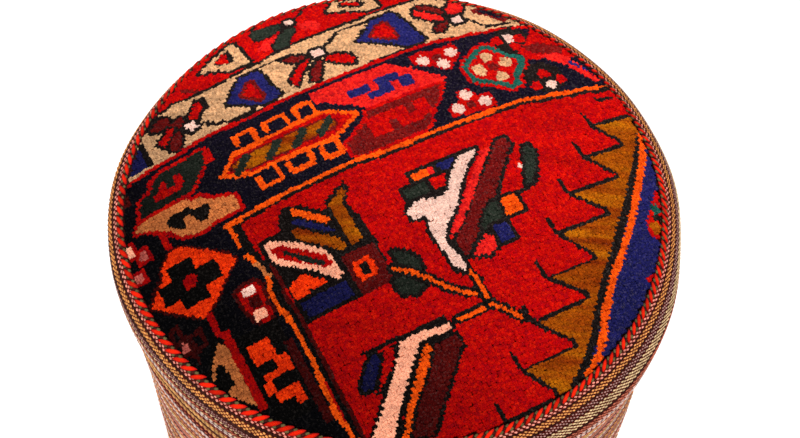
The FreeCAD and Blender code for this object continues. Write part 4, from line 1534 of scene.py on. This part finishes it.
class POUF_OT_fittings(Operator):
    """Finish the boards, posts, fasteners and glides of the frame"""

    bl_idname = "pouf.fittings"
    bl_label = "Frame finishes"

    def execute(self, context):
        boards = grained("birch_plywood", "CFA876", "A67C4C", (14.0, 90.0, 600.0), 0.6, 0.15)
        posts = grained("planed_softwood", "D6AE78", "A87C46", (120.0, 120.0, 9.0), 0.6, 0.2)
        hardboard = grained("brown_hardboard", "6E4A2E", "4C3220", (420.0, 420.0, 420.0), 0.6, 0.15)
        steel = grained("zinc_steel", "C8C9CC", "8E9094", (500.0, 500.0, 60.0), 0.35, 0.05, metallic=1.0)
        plastic = grained("glide_plastic", "2C2420", "17120F", (700.0, 700.0, 700.0), 0.5, 0.05)
        thread = grained("rim_thread", "7A2A20", "4A1612", (1500.0, 1500.0, 1500.0), 0.8, 0.1)
        finishes = (("top_board bottom_board", boards), ("wall_skin", hardboard),
                    (" ".join(f"post_{number}" for number in range(1, 7)), posts),
                    ("top_screws bottom_screws wall_staples_top wall_staples_bottom cover_staples", steel),
                    ("dust_cover_staples glide_screws", steel),
                    (" ".join(f"glide_{number}" for number in range(1, 5)), plastic),
                    ("rim_seam_thread", thread))
        for names, finish in finishes:
            for name in names.split():
                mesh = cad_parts[name].data
                mesh.materials.clear()
                mesh.materials.append(finish)
        return {"FINISHED"}


# Stage: each lamp by the direction that its light comes from

LAMPS = {"key": (0.15, 0.5, 0.85), "fill": (-0.3, -0.93, 0.2), "side": (0.92, 0.25, 0.3)}
LAMP_SPREAD = math.radians(50)
FLOOR_SIZE = 12.0
FLOOR_GLOW = 0.45                        # light of its own that the floor shows
CAMERA_AIM = (3.53 * MM, -16.98 * MM)    # point over the floor that the camera looks at


class POUF_OT_stage(Operator):
    """Set the pale floor, the soft lamps and the camera"""

    bl_idname = "pouf.stage"
    bl_label = "Stage"

    def execute(self, context):
        stage = context.scene.pouf_stage
        self.floor(stage)
        self.light(context.scene, stage)
        self.camera(context.scene, stage)
        context.scene.view_settings.view_transform = "Standard"
        return {"FINISHED"}

    def floor(self, stage):
        fresh()
        bpy.ops.mesh.primitive_plane_add(size=FLOOR_SIZE)
        floor = bpy.context.object
        floor.name = "floor"
        finish = Finish("pale_floor", {"Base Color": opaque(stage.floor), "Roughness": 0.9,
                                       "Emission Color": (1, 1, 1, 1)})
        finish.give("Emission Strength", finish.times(self.seen(finish.tree), FLOOR_GLOW))
        floor.data.materials.append(finish.material)

    def seen(self, tree):
        """One for the rays that show the background: straight, in a reflection or through glass."""
        rays = tree.nodes.new("ShaderNodeLightPath")
        shown = rays.outputs["Is Camera Ray"]
        for other in ("Is Glossy Ray", "Is Transmission Ray"):
            either = tree.nodes.new("ShaderNodeMath")
            either.operation = "MAXIMUM"
            tree.links.new(shown, either.inputs[0])
            tree.links.new(rays.outputs[other], either.inputs[1])
            shown = either.outputs[0]
        return shown

    def light(self, scene, stage):
        world = bpy.data.worlds.new("studio")
        world.use_nodes = True
        tree = world.node_tree
        background = tree.nodes["Background"]
        background.inputs["Color"].default_value = (1, 1, 1, 1)
        sky = tree.nodes.new("ShaderNodeMapRange")
        sky.inputs["To Min"].default_value = stage.sky
        tree.links.new(self.seen(tree), sky.inputs["Value"])
        tree.links.new(sky.outputs["Result"], background.inputs["Strength"])
        scene.world = world
        for name, source in LAMPS.items():
            lamp = bpy.data.lights.new(name, "SUN")
            lamp.energy = getattr(stage, name)
            lamp.angle = LAMP_SPREAD
            obj = bpy.data.objects.new(name, lamp)
            obj.rotation_euler = Vector(source).to_track_quat("Z", "Y").to_euler()
            scene.collection.objects.link(obj)

    def camera(self, scene, stage):
        target = Vector((*CAMERA_AIM, RUG_HIGH.z - scene.pouf_sizes.crown))
        back = Vector((0.0, -math.cos(stage.elevation), math.sin(stage.elevation)))
        level_up = back.cross(Vector((1.0, 0.0, 0.0)))
        cos, sin = math.cos(stage.roll), math.sin(stage.roll)
        right = Vector((cos, 0.0, 0.0)) + level_up * sin
        up = Vector((-sin, 0.0, 0.0)) + level_up * cos
        data = bpy.data.cameras.new("camera")
        data.lens = stage.lens
        camera = bpy.data.objects.new("camera", data)
        turn = Matrix((right, up, back)).transposed().to_4x4()
        camera.matrix_world = Matrix.Translation(target + back * stage.distance) @ turn
        scene.collection.objects.link(camera)
        scene.camera = camera


OPERATORS = (POUF_OT_rug, POUF_OT_side_cloth, POUF_OT_back_seam, POUF_OT_fillings, POUF_OT_underside,
             POUF_OT_fittings, POUF_OT_stage)
GROUPS = {"pouf_sizes": PoufSizes, "pouf_dyes": PoufDyes, "pouf_yarns": PoufYarns, "pouf_stage": PoufStage}


class POUF_PT_panel(Panel):
    """Sizes, colours and building steps of the pouf"""

    bl_idname = "POUF_PT_panel"
    bl_label = "Rug Pouf"
    bl_space_type = "VIEW_3D"
    bl_region_type = "UI"
    bl_category = "Rug Pouf"

    def draw(self, context):
        for group in GROUPS:
            box = self.layout.box()
            for name in GROUPS[group].__annotations__:
                box.prop(getattr(context.scene, group), name)
        for operator in OPERATORS:
            self.layout.operator(operator.bl_idname)


def register():
    for group in GROUPS.values():
        bpy.utils.register_class(group)
    for name, group in GROUPS.items():
        setattr(bpy.types.Scene, name, PointerProperty(type=group))
    for cls in OPERATORS + (POUF_PT_panel,):
        bpy.utils.register_class(cls)


def unregister():
    for cls in (POUF_PT_panel,) + OPERATORS[::-1]:
        bpy.utils.unregister_class(cls)
    for name in GROUPS:
        delattr(bpy.types.Scene, name)
    for group in GROUPS.values():
        bpy.utils.unregister_class(group)


def main():
    register()
    for operator in OPERATORS:
        category, name = operator.bl_idname.split(".")
        getattr(getattr(bpy.ops, category), name)()
    bpy.context.view_layer.update()


if __name__ == "__main__":
    main()
